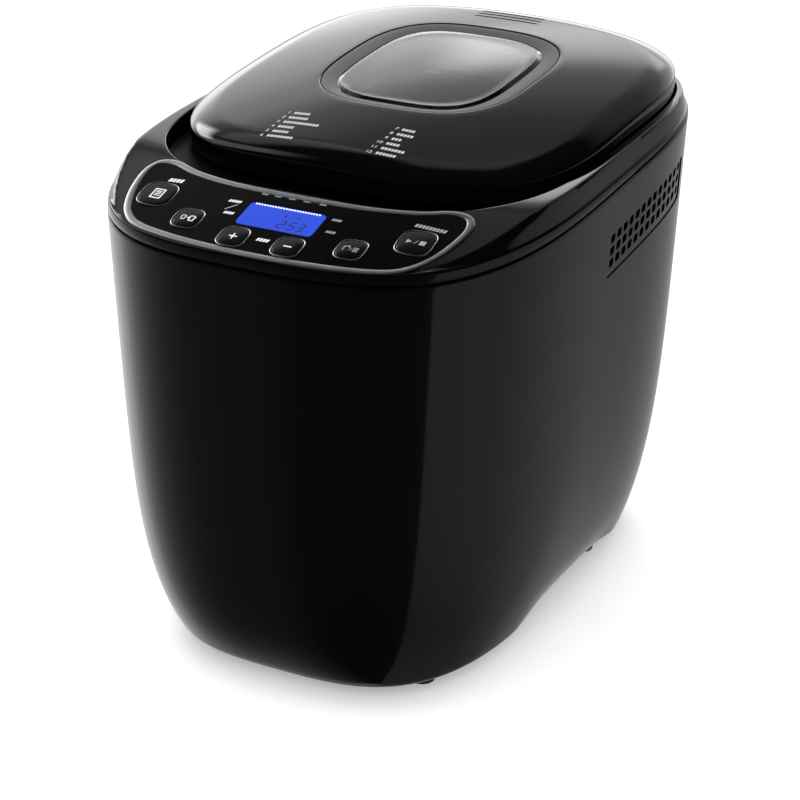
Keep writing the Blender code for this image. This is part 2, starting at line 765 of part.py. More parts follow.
def key_block(name, x, y, size, low, high, material, group=PARTS):
    """A rounded square column through the panel."""
    return lofted(name, [key_ring(x, y, size, low), key_ring(x, y, size, high)], material, group=group)


def display_block(name, margin, low, high, material, group=PARTS):
    """A box through the panel at the display, grown by a margin."""
    bm = box_mesh(
        (-DISPLAY_HALF_WIDTH - margin, -DISPLAY_HALF_DEPTH - margin, low),
        (DISPLAY_HALF_WIDTH + margin, DISPLAY_HALF_DEPTH + margin, high),
    )
    bmesh.ops.transform(bm, matrix=panel_frame(0, DISPLAY_Y), verts=bm.verts)
    return show(name, bm, material, group)


def make_control_panel():
    """The gloss overlay, its silver frame, the display and the six keys."""
    inner = panel_outline(TRIM_WIDTH + TOUCH_GAP)
    overlay = panel_solid("panel_overlay", inner, -PANEL_SEAT, OVERLAY_PROUD, GLOSS_BLACK)
    cut(overlay, display_block("display_opening", TOUCH_GAP, -0.02, 0.02, None, CUTTERS))
    for name, (x, y, size) in KEYS.items():
        cut(overlay, key_block(f"{name}_hole", x, y, size + 2 * KEY_CLEARANCE, -0.02, 0.02, None, CUTTERS))
    outer, frame = panel_outline(), panel_outline(TRIM_WIDTH)
    middle = panel_outline(TRIM_WIDTH / 2)
    rings = []
    for plan, offset in (
        (outer, -PANEL_SEAT),
        (outer, TRIM_PROUD * 0.4),
        (middle, TRIM_PROUD),
        (frame, TRIM_PROUD * 0.4),
        (frame, -PANEL_SEAT),
    ):
        rings.append([Vector((x, y, panel_z(x, y) + offset)) for x, y in plan])
    lofted("panel_trim", rings, SILVER, hollow=True)
    lens = display_block("display_lens", 0.0, -0.0016, 0.0001, DISPLAY_BLUE)
    module = display_block("display_module", 0.0030, -0.0100, -0.0022, MATT_BLACK)
    for name, (x, y, size) in KEYS.items():
        stem = 0.006
        cap_bottom = -0.0042
        lofted(
            name,
            [
                key_ring(x, y, stem, -BOARD_DEPTH + 0.0052 + KEY_TRAVEL_ROOM),
                key_ring(x, y, stem, cap_bottom),
                key_ring(x, y, size, cap_bottom),
                key_ring(x, y, size, KEY_PROUD - 0.0006),
                key_ring(x, y, size - 0.0012, KEY_PROUD),
            ],
            KEY_BLACK,
        )
    return lens, module


def make_boards():
    """The board under the keys with its switches, and the power board beside the motor."""
    reach = KEYS["button_start"][0] + BOARD_MARGIN
    board = box_mesh((-reach, -0.0215, -0.0016), (reach, 0.0215, 0.0))
    place = panel_frame(0, -CASE_FRONT + 0.035) @ Matrix.Translation((0, 0, -BOARD_DEPTH - 0.0030))
    bmesh.ops.transform(board, matrix=place, verts=board.verts)
    control = show("control_board", board, BOARD_GREEN)
    for name, (x, y, _) in KEYS.items():
        crown = panel_z(x, y) - panel_z(0, y)
        low = -0.0030 - crown * math.cos(PANEL_TILT) - 0.0008
        switch = box_mesh((-0.003, -0.003, low), (0.003, 0.003, 0.0030))
        bmesh.ops.transform(
            switch,
            matrix=panel_frame(x, y) @ Matrix.Translation((0, 0, -BOARD_DEPTH)),
            verts=switch.verts,
        )
        add(control, show(f"{name}_switch", switch, None, CUTTERS))
    room = inset(casing_outline(0.15), SHELL_WALL + 0.004)
    walls = [at_height(room, PARTING_HEIGHT - 0.07), at_height(room, PARTING_HEIGHT + 0.02)]
    combine(control, lofted("board_plan", walls, None, group=CUTTERS), "INTERSECT")
    low = (0.060, -CASE_FRONT + 0.035, 0.080)
    power = box("power_board", low, (low[0] + 0.0016, low[1] + 0.070, low[2] + 0.080), BOARD_GREEN)
    for index, (dy, dz, size, deep) in enumerate(
        (
            (0.010, 0.012, 0.018, 0.014),
            (0.036, 0.014, 0.014, 0.018),
            (0.012, 0.046, 0.016, 0.010),
            (0.044, 0.050, 0.012, 0.012),
        )
    ):
        corner = (low[0] + 0.001, low[1] + dy, low[2] + dz)
        far = (corner[0] + deep, corner[1] + size, corner[2] + size)
        add(power, box(f"component_{index}", corner, far, None, group=CUTTERS))
    return power


# ---------------------------------------------------------------- lid
def lid_outline(distance=0.0):
    """Plan of the lid, moved inwards by a distance."""
    centre = (LID_FRONT_Y + LID_BACK_Y) / 2
    reach = (LID_BACK_Y - LID_FRONT_Y) / 2
    plan = outline(LID_HALF_WIDTH, centre, reach, reach, LID_FRONT_SQUARENESS, LID_BACK_SQUARENESS)
    return inset(plan, distance) if distance else plan


def window_outline(grow=0.0):
    centre = (WINDOW_FRONT_Y + WINDOW_BACK_Y) / 2
    reach = (WINDOW_BACK_Y - WINDOW_FRONT_Y) / 2
    return outline(WINDOW_HALF_WIDTH + grow, centre, reach + grow, reach + grow, *WINDOW_SQUARENESS)


def glass_outline(grow=0.0):
    centre = (GLASS_FRONT_Y + GLASS_BACK_Y) / 2
    reach = (GLASS_BACK_Y - GLASS_FRONT_Y) / 2
    return outline(GLASS_HALF_WIDTH + grow, centre, reach + grow, reach + grow, *GLASS_SQUARENESS)


def on_lid(plan, offset):
    return [Vector((x, y, lid_z(x, y) + offset)) for x, y in plan]


def make_lid():
    """The domed cover with its window hole, rolled edge and skirt."""
    hole = window_outline()
    edge = lid_outline()
    rings = [on_lid(hole, 0.0)]
    for share in (0.4, 0.8):
        plan = []
        for (x0, y0), (x1, y1) in zip(hole, lid_outline(LID_EDGE_WIDTH)):
            plan.append((x0 + (x1 - x0) * share, y0 + (y1 - y0) * share))
        rings.append(on_lid(plan, 0.0))
    for distance, drop in ((LID_EDGE_WIDTH, 0.0002), (0.008, 0.0011), (0.0032, 0.0026), (0.0008, 0.0042)):
        rings.append(on_lid(lid_outline(distance), -drop))
    rings.append(on_lid(edge, -LID_EDGE_DROP))
    rings.append(at_height(lid_outline(0.0003), LID_SKIRT_BOTTOM))
    rings.append(at_height(lid_outline(LID_WALL), LID_SKIRT_BOTTOM))
    rings.append(on_lid(lid_outline(LID_WALL + 0.0012), -LID_EDGE_DROP - LID_WALL))
    rings.append(on_lid(lid_outline(LID_EDGE_WIDTH), -LID_WALL - 0.001))
    rings.append(on_lid(window_outline(0.004), -LID_WALL))
    rings.append(on_lid(hole, -LID_WALL))
    lid = lofted("lid_cover", rings, GLOSS_BLACK, hollow=True)
    for index in range(3):
        y = 0.1385 + index * 0.0052
        length = 0.044
        slot = box_mesh((-length / 2, y - 0.0009, -0.02), (length / 2, y + 0.0009, 0.02))
        bmesh.ops.translate(slot, vec=(0, 0, lid_z(0, y)), verts=slot.verts)
        cut(lid, show(f"steam_slot_{index}", slot, None, CUTTERS))
    return lid


def make_window():
    """The grey bezel, the outer pane and the inner pane."""
    outer = window_outline(-TOUCH_GAP)
    inner = glass_outline()
    low = LID_WALL + BEZEL_WALL
    lofted(
        "window_bezel",
        [
            on_lid(outer, -0.0003),
            on_lid(inner, -BEZEL_DEPTH),
            on_lid(inner, -BEZEL_DEPTH - GLASS_THICKNESS),
            on_lid(window_outline(-0.004), -BEZEL_DEPTH - GLASS_THICKNESS),
            on_lid(outer, -low + 0.001),
        ],
        GREY_PLASTIC,
        hollow=True,
    )
    pane = glass_outline(-TOUCH_GAP)
    lofted(
        "window_glass",
        [
            on_lid(pane, -BEZEL_DEPTH - GLASS_THICKNESS),
            on_lid(pane, -BEZEL_DEPTH + 0.0002),
            on_lid(glass_outline(-0.0030), -BEZEL_DEPTH + 0.0010),
            on_lid(glass_outline(-0.0200), -BEZEL_DEPTH + 0.0010),
        ],
        GLASS,
    )
    pane = glass_outline(-0.002 - TOUCH_GAP)
    lofted(
        "window_inner_glass",
        [at_height(pane, INNER_PANEL_Z), at_height(pane, INNER_PANEL_Z + 0.003)],
        GLASS,
    )


def make_lid_inside():
    """The pressed metal panel under the lid and its silicone seal."""
    outer = lid_outline(LID_WALL + 0.0020)
    hole = glass_outline(-0.002)
    lofted(
        "lid_inner_panel",
        [
            at_height(outer, INNER_PANEL_Z),
            at_height(outer, INNER_PANEL_Z + INNER_PANEL_THICKNESS),
            at_height(hole, INNER_PANEL_Z + INNER_PANEL_THICKNESS),
            at_height(hole, INNER_PANEL_Z),
        ],
        GALVANISED,
        hollow=True,
    )
    lofted(
        "lid_seal",
        [
            at_height(mouth_outline(0.0055), RECESS_FLOOR + 0.0004),
            at_height(mouth_outline(0.0090), RECESS_FLOOR + 0.0004),
            at_height(mouth_outline(0.0100), INNER_PANEL_Z - TOUCH_GAP),
            at_height(mouth_outline(0.0050), INNER_PANEL_Z - TOUCH_GAP),
        ],
        SILICONE,
        hollow=True,
    )


def make_hinge():
    """The lid's hinge barrel, the bracket on the casing's back and the two pins."""
    reach = HINGE_HALF_WIDTH
    barrel = rod(
        "hinge_cover",
        HINGE_BARREL_RADIUS,
        (-reach, HINGE_Y, HINGE_Z),
        (reach, HINGE_Y, HINGE_Z),
        GLOSS_BLACK,
        24,
    )
    tongue = box(
        "hinge_tongue",
        (-reach, LID_BACK_Y + TOUCH_GAP, HINGE_Z - 0.0045),
        (reach, HINGE_Y, HINGE_Z + HINGE_BARREL_RADIUS - 0.0002),
        None,
        group=CUTTERS,
    )
    add(barrel, tongue)
    bore = HINGE_PIN_RADIUS + RUNNING_CLEARANCE
    ear_inside = reach + 0.0006
    ear_outside = ear_inside + HINGE_EAR
    front = CASE_BACK + 0.0006
    bracket = box(
        "hinge_bracket",
        (-ear_outside, front, HINGE_Z - 0.0190),
        (ear_outside, front + 0.0140, HINGE_Z - HINGE_BARREL_RADIUS - 0.0012),
        MATT_BLACK,
    )
    for side, word in ((-1, "left"), (1, "right")):
        low = (min(side * ear_inside, side * ear_outside), front, HINGE_Z - 0.0188)
        high = (max(side * ear_inside, side * ear_outside), front + 0.0170, HINGE_Z + 0.0050)
        add(bracket, box(f"hinge_ear_{word}", low, high, None, group=CUTTERS))
        start = (side * (reach - 0.0100), HINGE_Y, HINGE_Z)
        end = (side * (ear_outside + 0.0010), HINGE_Y, HINGE_Z)
        deep = (side * (reach - 0.0106), HINGE_Y, HINGE_Z)
        out = (side * (ear_outside + 0.0100), HINGE_Y, HINGE_Z)
        rod(f"hinge_pin_{word}", HINGE_PIN_RADIUS, start, end, STEEL, 16)
        bore_cutter = rod(f"hinge_bore_{word}", bore, deep, out, None, 16, CUTTERS)
        cut(barrel, bore_cutter)
        cut(bracket, bore_cutter)
    return bracket


# ---------------------------------------------------------------- oven and pan
def pan_outline(height, grow=0.0):
    """Plan of the pan's outside, narrowing a little towards the bottom."""
    share = 0.95 + 0.05 * (height - PAN_BOTTOM) / (PAN_TOP - PAN_BOTTOM)
    half_width = PAN_HALF_WIDTH * share + grow
    half_depth = PAN_HALF_DEPTH * share + grow
    return outline(half_width, OVEN_Y, half_depth, half_depth, PAN_SQUARENESS, PAN_SQUARENESS, 28)


def chamber_outline(grow=0.0):
    return outline(
        CHAMBER_HALF_WIDTH + grow,
        OVEN_Y,
        CHAMBER_HALF_DEPTH + grow,
        CHAMBER_HALF_DEPTH + grow,
        CHAMBER_SQUARENESS,
        CHAMBER_SQUARENESS,
        28,
    )


def make_chamber():
    """The sheet-metal oven box, open at the top."""
    rings = [
        at_height(chamber_outline(), CHAMBER_FLOOR),
        at_height(chamber_outline(), CHAMBER_TOP),
        at_height(chamber_outline(-CHAMBER_WALL), CHAMBER_TOP),
        at_height(chamber_outline(-CHAMBER_WALL), CHAMBER_FLOOR + CHAMBER_WALL),
    ]
    chamber = lofted("oven_chamber", rings, GALVANISED)
    front = OVEN_Y - CHAMBER_HALF_DEPTH
    shaft_hole = SHAFT_RADIUS + 0.003
    cut(
        chamber,
        rod("chamber_shaft_hole", shaft_hole, (0, OVEN_Y, 0.05), (0, OVEN_Y, 0.075), None, 24, CUTTERS),
    )
    for side in (-1, 1):
        x = side * ELEMENT_HALF_GAP
        ends = ((x, front - 0.010, ELEMENT_Z), (x, front + 0.010, ELEMENT_Z))
        cut(chamber, rod(f"element_hole_{side}", ELEMENT_RADIUS + 0.0006, *ends, None, 16, CUTTERS))
    ends = ((0.050, front - 0.010, SENSOR_Z), (0.050, front + 0.010, SENSOR_Z))
    cut(chamber, rod("sensor_hole", 0.0037, *ends, None, 16, CUTTERS))
    rod(
        "temperature_sensor",
        0.0033,
        (0.050, front - 0.016, SENSOR_Z),
        (0.050, front + 0.012, SENSOR_Z),
        STEEL,
        16,
    )
    return chamber


def mesh_from_curve(name, points, radius, material, sides=3, cyclic=False):
    """A round wire through points, as a closed mesh."""
    curve = bpy.data.curves.new(name, "CURVE")
    curve.dimensions = "3D"
    curve.bevel_depth = radius
    curve.bevel_resolution = sides
    curve.use_fill_caps = not cyclic
    line = curve.splines.new("POLY")
    line.points.add(len(points) - 1)
    for point, place in zip(line.points, points):
        point.co = (*place, 1.0)
    line.use_cyclic_u = cyclic
    guide = bpy.data.objects.new(name + "_curve", curve)
    bpy.context.scene.collection.objects.link(guide)
    graph = bpy.context.evaluated_depsgraph_get()
    mesh = bpy.data.meshes.new_from_object(guide.evaluated_get(graph))
    bpy.data.objects.remove(guide, do_unlink=True)
    bm = bmesh.new()
    bm.from_mesh(mesh)
    bmesh.ops.remove_doubles(bm, verts=bm.verts, dist=1e-6)
    return smooth(show(name, bm, material))


def make_heating_element():
    """A tube round the foot of the oven, both ends out through the front wall."""
    half_width, half_depth, corner = ELEMENT_LOOP
    outside = OVEN_Y - CHAMBER_HALF_DEPTH - ELEMENT_TAIL
    path = [(ELEMENT_HALF_GAP, outside, ELEMENT_Z)]
    bend = ELEMENT_BEND
    front = OVEN_Y - half_depth
    for step in range(5):
        turn = math.radians(180 - 90 * step / 4)
        x = ELEMENT_HALF_GAP + bend + bend * math.cos(turn)
        path.append((x, front - bend + bend * math.sin(turn), ELEMENT_Z))
    corners = ((1, -1, -90), (1, 1, 0), (-1, 1, 90), (-1, -1, 180))
    for sx, sy, start in corners:
        for step in range(6):
            turn = math.radians(start + 90 * step / 5)
            x = sx * (half_width - corner) + corner * math.cos(turn)
            y = OVEN_Y + sy * (half_depth - corner) + corner * math.sin(turn)
            path.append((x, y, ELEMENT_Z))
    for step in range(5):
        turn = math.radians(90 - 90 * step / 4)
        x = -ELEMENT_HALF_GAP - bend + bend * math.cos(turn)
        path.append((x, front - bend + bend * math.sin(turn), ELEMENT_Z))
    path.append((-ELEMENT_HALF_GAP, outside, ELEMENT_Z))
    return mesh_from_curve("heating_element", path, ELEMENT_RADIUS, STEEL, 1)


def make_pan():
    """The baking pan with its rolled rim, shaft hole and two bail lugs."""
    floor = PAN_BOTTOM + 0.002
    rings = [
        at_height(pan_outline(PAN_BOTTOM, -0.004), PAN_BOTTOM),
        at_height(pan_outline(PAN_BOTTOM), PAN_BOTTOM + 0.005),
        at_height(pan_outline(PAN_TOP), PAN_TOP - 0.004),
        at_height(pan_outline(PAN_TOP, PAN_RIM), PAN_TOP - 0.002),
        at_height(pan_outline(PAN_TOP, PAN_RIM), PAN_TOP),
        at_height(pan_outline(PAN_TOP, -PAN_WALL), PAN_TOP),
        at_height(pan_outline(PAN_BOTTOM, -PAN_WALL), floor + 0.005),
        at_height(pan_outline(PAN_BOTTOM, -0.006), floor),
    ]
    pan = lofted("bread_pan", rings, NON_STICK)
    hole = SHAFT_RADIUS + 0.0006
    low, high = (0, OVEN_Y, PAN_BOTTOM - 0.02), (0, OVEN_Y, PAN_BOTTOM + 0.02)
    cut(pan, rod("pan_shaft_hole", hole, low, high, None, 24, CUTTERS))
    for side in (-1, 1):
        inner = side * (PAN_HALF_WIDTH + PAN_RIM - 0.002)
        outer = side * (PAN_HALF_WIDTH + PAN_RIM + 0.0018)
        low = (min(inner, outer), OVEN_Y - 0.008, PAN_TOP - 0.0019)
        high = (max(inner, outer), OVEN_Y + 0.008, PAN_TOP + 0.0120)
        add(pan, box(f"bail_lug_{side}", low, high, None, group=CUTTERS))
        pivot_in = (side * (PAN_HALF_WIDTH - 0.01), OVEN_Y, HANDLE_PIVOT_Z)
        pivot_out = (side * (PAN_HALF_WIDTH + 0.02), OVEN_Y, HANDLE_PIVOT_Z)
        cut(pan, rod(f"bail_hole_{side}", HANDLE_RADIUS + 0.0004, pivot_in, pivot_out, None, 16, CUTTERS))
    return pan


def make_pan_handle():
    """The wire bail: an axle end in each lug, two arms and a cross bar, folded to the front."""
    inner = PAN_HALF_WIDTH + PAN_RIM - 0.0045
    outer = PAN_HALF_WIDTH + PAN_RIM + 0.0062
    z = HANDLE_PIVOT_Z
    corner = 0.012
    half = [(inner, OVEN_Y, z)]
    for step in range(4):
        turn = math.radians(90 - 90 * step / 3)
        half.append((outer - 0.003 + 0.003 * math.cos(turn), OVEN_Y - 0.003 + 0.003 * math.sin(turn), z))
    end_y = OVEN_Y - HANDLE_ARM
    for step in range(5):
        turn = math.radians(-90 * step / 4)
        half.append((outer - corner + corner * math.cos(turn), end_y + corner + corner * math.sin(turn), z))
    path = half + [(-x, y, height) for x, y, height in reversed(half)]
    return mesh_from_curve("pan_handle", path, HANDLE_RADIUS, STEEL, 1)


def make_pan_drive():
    """What turns in the pan: its shaft, bearing, wing coupling and the kneading paddle."""
    wing_low, wing_high = SHAFT_WING
    shaft_top = PAN_BOTTOM + 0.030
    shaft = rod("pan_shaft", SHAFT_RADIUS, (0, OVEN_Y, wing_low), (0, OVEN_Y, shaft_top), STEEL, 24)
    low = (-WING_REACH, OVEN_Y - WING_HALF_THICKNESS, wing_low + 0.0002)
    high = (WING_REACH, OVEN_Y + WING_HALF_THICKNESS, wing_high)
    add(shaft, box("shaft_wing", low, high, None, group=CUTTERS))
    gap = SHAFT_RADIUS + RUNNING_CLEARANCE
    base = PAN_BOTTOM - TOUCH_GAP
    profile = [
        (gap, base - 0.0110),
        (0.014, base - 0.0110),
        (0.016, base - 0.0090),
        (0.016, base - 0.0030),
        (PAN_SEAT_RADIUS, base - 0.0030),
        (PAN_SEAT_RADIUS, base),
        (gap, base),
    ]
    turned("pan_bearing", profile, (0, OVEN_Y, 0), CAST_ALUMINIUM)
    hub_low = PAN_BOTTOM + 0.002 + 0.0012
    hub = [
        (SHAFT_RADIUS + TOUCH_GAP, hub_low),
        (0.0105, hub_low),
        (0.0085, hub_low + 0.0240),
        (0.0070, hub_low + 0.0260),
        (SHAFT_RADIUS + TOUCH_GAP, hub_low + 0.0260),
    ]
    paddle = turned("kneading_paddle", hub, (0, OVEN_Y, 0), NON_STICK, 28)
    sections = []
    for share in (0.0, 0.35, 0.7, 1.0):
        x = 0.0070 + share * 0.0400
        half = 0.0030 * (1 - 0.45 * share)
        top = hub_low + 0.0200 + 0.010 * share
        lean = 0.012 * share * share
        sections.append(
            [
                Vector((x, OVEN_Y - half + lean, hub_low + 0.0002)),
                Vector((x, OVEN_Y + half + lean, hub_low + 0.0002)),
                Vector((x, OVEN_Y + half * 0.6 + lean + 0.004 * share, top)),
                Vector((x, OVEN_Y - half * 0.6 + lean + 0.004 * share, top)),
            ]
        )
    add(paddle, lofted("paddle_blade", sections, None, group=CUTTERS))
    return paddle


def make_pan_seat():
    """The ring on the oven floor that the pan's base drops into."""
    inner = PAN_SEAT_RADIUS + 0.0012
    low = CHAMBER_FLOOR + CHAMBER_WALL + TOUCH_GAP
    high = PAN_BOTTOM - 0.0012
    rim, flange = inner + PAN_SEAT_WALL, inner + PAN_SEAT_FLANGE
    profile = [(inner, low), (flange, low), (flange, low + 0.002), (rim, low + 0.002)]
    profile += [(rim, high), (inner, high)]
    return turned("pan_seat", profile, (0, OVEN_Y, 0), CAST_ALUMINIUM)


# ---------------------------------------------------------------- belt drive
def make_drive():
    """Drive shaft with its dog, bearing and pulley, the belt, and the motor with its pulley and fan."""
    top_of_shaft = 0.0640
    rod("drive_shaft", SHAFT_RADIUS, (0, OVEN_Y, 0.0265), (0, OVEN_Y, top_of_shaft), STEEL, 16)
    dog_low = top_of_shaft + TOUCH_GAP
    dog = rod("drive_coupling", 0.0175, (0, OVEN_Y, dog_low), (0, OVEN_Y, dog_low + 0.0014), STEEL, 24)
    for turn in (0, 180):
        lug = box_mesh((0.0060, 0.0040, dog_low + 0.0010), (0.0150, 0.0090, 0.0735))
        spin = Matrix.Translation((0, OVEN_Y, 0)) @ Matrix.Rotation(math.radians(turn), 4, "Z")
        bmesh.ops.transform(lug, matrix=spin, verts=lug.verts)
        add(dog, show(f"dog_lug_{turn}", lug, None, CUTTERS))
    gap = SHAFT_RADIUS + RUNNING_CLEARANCE
    top = CHAMBER_FLOOR - TOUCH_GAP
    profile = [
        (gap, top - 0.0130),
        (0.0090, top - 0.0130),
        (0.0095, top - 0.0030),
        (0.0220, top - 0.0030),
        (0.0220, top),
        (gap, top),
    ]
    turned("shaft_bearing", profile, (0, OVEN_Y, 0), BRASS)
    pulley("large_pulley", LARGE_PULLEY_RADIUS, SHAFT_RADIUS, OVEN_Y, 28)
    pulley("motor_pulley", SMALL_PULLEY_RADIUS, MOTOR_SHAFT_RADIUS, MOTOR_Y, 16)
    make_belt()
    rod(
        "motor_shaft",
        MOTOR_SHAFT_RADIUS,
        (0, MOTOR_Y, 0.0300),
        (0, MOTOR_Y, MOTOR_BOTTOM - TOUCH_GAP),
        STEEL,
        16,
    )
    can = [
        (0, MOTOR_BOTTOM),
        (MOTOR_RADIUS - 0.002, MOTOR_BOTTOM),
        (MOTOR_RADIUS, MOTOR_BOTTOM + 0.003),
        (MOTOR_RADIUS, MOTOR_TOP - 0.003),
        (MOTOR_RADIUS - 0.003, MOTOR_TOP),
        (0, MOTOR_TOP),
    ]
    turned("motor_body", can, (0, MOTOR_Y, 0), GALVANISED, 32, closed=False)
    make_fan()
    make_bracket()


def pulley(name, radius, bore, y, steps):
    """A flanged belt pulley pressed on its shaft."""
    low = BELT_BOTTOM - 0.0008 - PULLEY_FLANGE
    high = BELT_BOTTOM + BELT_WIDTH + 0.0008 + PULLEY_FLANGE
    profile = [
        (bore + TOUCH_GAP, low),
        (radius + 0.0022, low),
        (radius + 0.0022, low + PULLEY_FLANGE),
        (radius, low + PULLEY_FLANGE),
        (radius, high - PULLEY_FLANGE),
        (radius + 0.0022, high - PULLEY_FLANGE),
        (radius + 0.0022, high),
        (bore + TOUCH_GAP, high),
    ]
    return turned(name, profile, (0, y, 0), MATT_BLACK, steps)


def belt_outline(distance):
    """Plan of a loop round both pulleys, a distance outside their belt faces."""
    span = OVEN_Y - MOTOR_Y
    large, small = LARGE_PULLEY_RADIUS + distance, SMALL_PULLEY_RADIUS + distance
    lean = math.asin((LARGE_PULLEY_RADIUS - SMALL_PULLEY_RADIUS) / span)
    points = []
    for centre, radius, start, sweep, steps in (
        (OVEN_Y, large, -lean, math.pi + 2 * lean, 30),
        (MOTOR_Y, small, math.pi + lean, math.pi - 2 * lean, 12),
    ):
        for step in range(steps + 1):
            turn = start + sweep * step / steps
            points.append((radius * math.cos(turn), centre + radius * math.sin(turn)))
    return points


def make_belt():
    """The drive belt."""
    inner, outer = belt_outline(0.0005), belt_outline(0.0005 + BELT_THICKNESS)
    low, high = BELT_BOTTOM, BELT_BOTTOM + BELT_WIDTH
    rings = [at_height(outer, low), at_height(outer, high), at_height(inner, high), at_height(inner, low)]
    return lofted("drive_belt", rings, RUBBER, hollow=True)


def make_fan():
    """A six-bladed fan on the motor's shaft, under the bracket."""
    low = 0.0520
    fan = rod("cooling_fan", 0.0080, (0, MOTOR_Y, low), (0, MOTOR_Y, low + 0.0060), MATT_BLACK, 20)
    for index in range(6):
        blade = box_mesh((0.0060, -0.0006, low + 0.0004), (0.0240, 0.0006, low + 0.0056))
        spin = Matrix.Translation((0, MOTOR_Y, 0)) @ Matrix.Rotation(math.radians(60 * index), 4, "Z")
        bmesh.ops.transform(blade, matrix=spin, verts=blade.verts)
        add(fan, show(f"fan_blade_{index}", blade, None, CUTTERS))
    bore = MOTOR_SHAFT_RADIUS + TOUCH_GAP
    return cut(
        fan,
        rod("fan_bore", bore, (0, MOTOR_Y, low - 0.01), (0, MOTOR_Y, low + 0.02), None, 16, CUTTERS),
    )


def make_bracket():
    """The plate that carries the motor, on four posts."""
    half = 0.036
    plate = box(
        "motor_bracket",
        (-half, MOTOR_Y - half, BRACKET_TOP - BRACKET_THICKNESS),
        (half, MOTOR_Y + half, BRACKET_TOP),
        GALVANISED,
    )
    foot = BASE_PLATE_BOTTOM + BASE_PLATE_THICKNESS + TOUCH_GAP
    for sx in (-1, 1):
        for sy in (-1, 1):
            x, y = sx * (half - 0.005), MOTOR_Y + sy * (half - 0.005)
            post = rod(
                f"post_{sx}_{sy}",
                0.0035,
                (x, y, foot),
                (x, y, BRACKET_TOP - 0.001),
                None,
                16,
                CUTTERS,
            )
            add(plate, post)
    bore = MOTOR_SHAFT_RADIUS + 0.0015
    return cut(plate, rod("bracket_bore", bore, (0, MOTOR_Y, 0.05), (0, MOTOR_Y, 0.09), None, 20, CUTTERS))


def make_supports():
    """The legged plate under the oven and the screws up into its feet."""
    plate_top = BASE_PLATE_BOTTOM + BASE_PLATE_THICKNESS
    top = CHAMBER_FLOOR - TOUCH_GAP
    stand = box(
        "chamber_bracket",
        (-0.078, OVEN_Y - 0.083, top - 0.0025),
        (0.078, OVEN_Y + 0.083, top),
        GALVANISED,
    )
    head_top = BASE_PLATE_BOTTOM - TOUCH_GAP
    head_low = head_top - SCREW_HEAD_HEIGHT
    screw = [(0, head_low), (SCREW_HEAD_RADIUS - 0.001, head_low), (SCREW_HEAD_RADIUS, head_top - 0.0008)]
    screw += [(SCREW_HEAD_RADIUS, head_top), (0, head_top)]
    for index, (x, y) in enumerate(leg_places()):
        low, high = (x, y, plate_top + TOUCH_GAP), (x, y, top - 0.001)
        add(stand, rod(f"leg_{index}", LEG_RADIUS, low, high, None, 16, CUTTERS))
        turned(f"base_screw_{index + 1}", screw, (x, y, 0), STEEL, 16, closed=False)
    low, high = (0, OVEN_Y, CHAMBER_FLOOR - 0.012), (0, OVEN_Y, CHAMBER_FLOOR + 0.008)
    cut(stand, rod("bearing_hole", 0.0222 + TOUCH_GAP, low, high, None, 32, CUTTERS))


def leg_places():
    reach_x, reach_y = LEG_REACH
    return [(sx * reach_x, OVEN_Y + sy * reach_y) for sx in (-1, 1) for sy in (-1, 1)]


# ---------------------------------------------------------------- build everything
make_casing()
make_cord_gland()
make_vent_grille("vent_grille_left", -1)
make_vent_grille("vent_grille_right", 1)
make_base_plate()
make_feet()
make_deck()
make_control_panel()
make_boards()
make_lid()
make_window()
make_lid_inside()
make_hinge()
make_chamber()
make_heating_element()
make_pan()
make_pan_handle()
make_pan_drive()
make_pan_seat()
make_drive()
make_supports()


# ---------------------------------------------------------------- placing
def empty(name, place):
    """A named point that pieces hang from."""
    made = bpy.data.objects.new(name, None)
    made.location = place
    bpy.context.scene.collection.objects.link(made)
    return made


def hang(names, pivot):
    """Gives pieces a parent on their joint's axis and leaves them where they are."""
    for name in names:
        piece = bpy.data.objects[name]
        piece.parent = pivot
        piece.location = -pivot.location


ORIGIN = empty("machine_origin", (0, (CASE_FRONT - HINGE_Y - HINGE_BARREL_RADIUS) / 2, 0))
LID_PIECES = ["lid_cover", "window_bezel", "window_glass", "window_inner_glass"]
LID_PIECES += ["lid_inner_panel", "lid_seal", "hinge_cover"]
PIVOTS = {
    "lid_pivot": ((0, HINGE_Y, HINGE_Z), LID_PIECES),
    "pan_place": ((0, OVEN_Y, PAN_BOTTOM), ["bread_pan", "pan_bearing"]),
    "paddle_axis": ((0, OVEN_Y, PAN_BOTTOM), ["pan_shaft", "kneading_paddle"]),
    "bail_pivot": ((0, OVEN_Y, HANDLE_PIVOT_Z), ["pan_handle"]),
    "drive_axis": ((0, OVEN_Y, BELT_BOTTOM), ["drive_shaft", "drive_coupling", "large_pulley"]),
    "motor_axis": ((0, MOTOR_Y, BELT_BOTTOM), ["motor_shaft", "motor_pulley", "cooling_fan"]),
}
for key, (x, y, _) in KEYS.items():
    PIVOTS[f"{key}_slide"] = ((x, y, panel_z(x, y)), [key])
for name, (place, pieces) in PIVOTS.items():
    pivot = empty(name, place)
    hang(pieces, pivot)
    pivot.parent = ORIGIN
for piece in list(PARTS.objects) + list(CUTTERS.objects):
    if piece.parent is None:
        piece.parent = ORIGIN
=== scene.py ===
# %% [markdown]
# # A gloss black bread machine
#
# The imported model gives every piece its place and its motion. This lesson gives the pieces their
# looks: dense smooth shells for the mouldings, real holes for the vents, inlaid marks for the keys,
# and a material for every surface. All sizes are metres. The front faces -Y and +Z is up.

# %% Load the frame
import math

import bmesh
import bpy
from mathutils import Matrix, Vector
from mathutils.geometry import normal


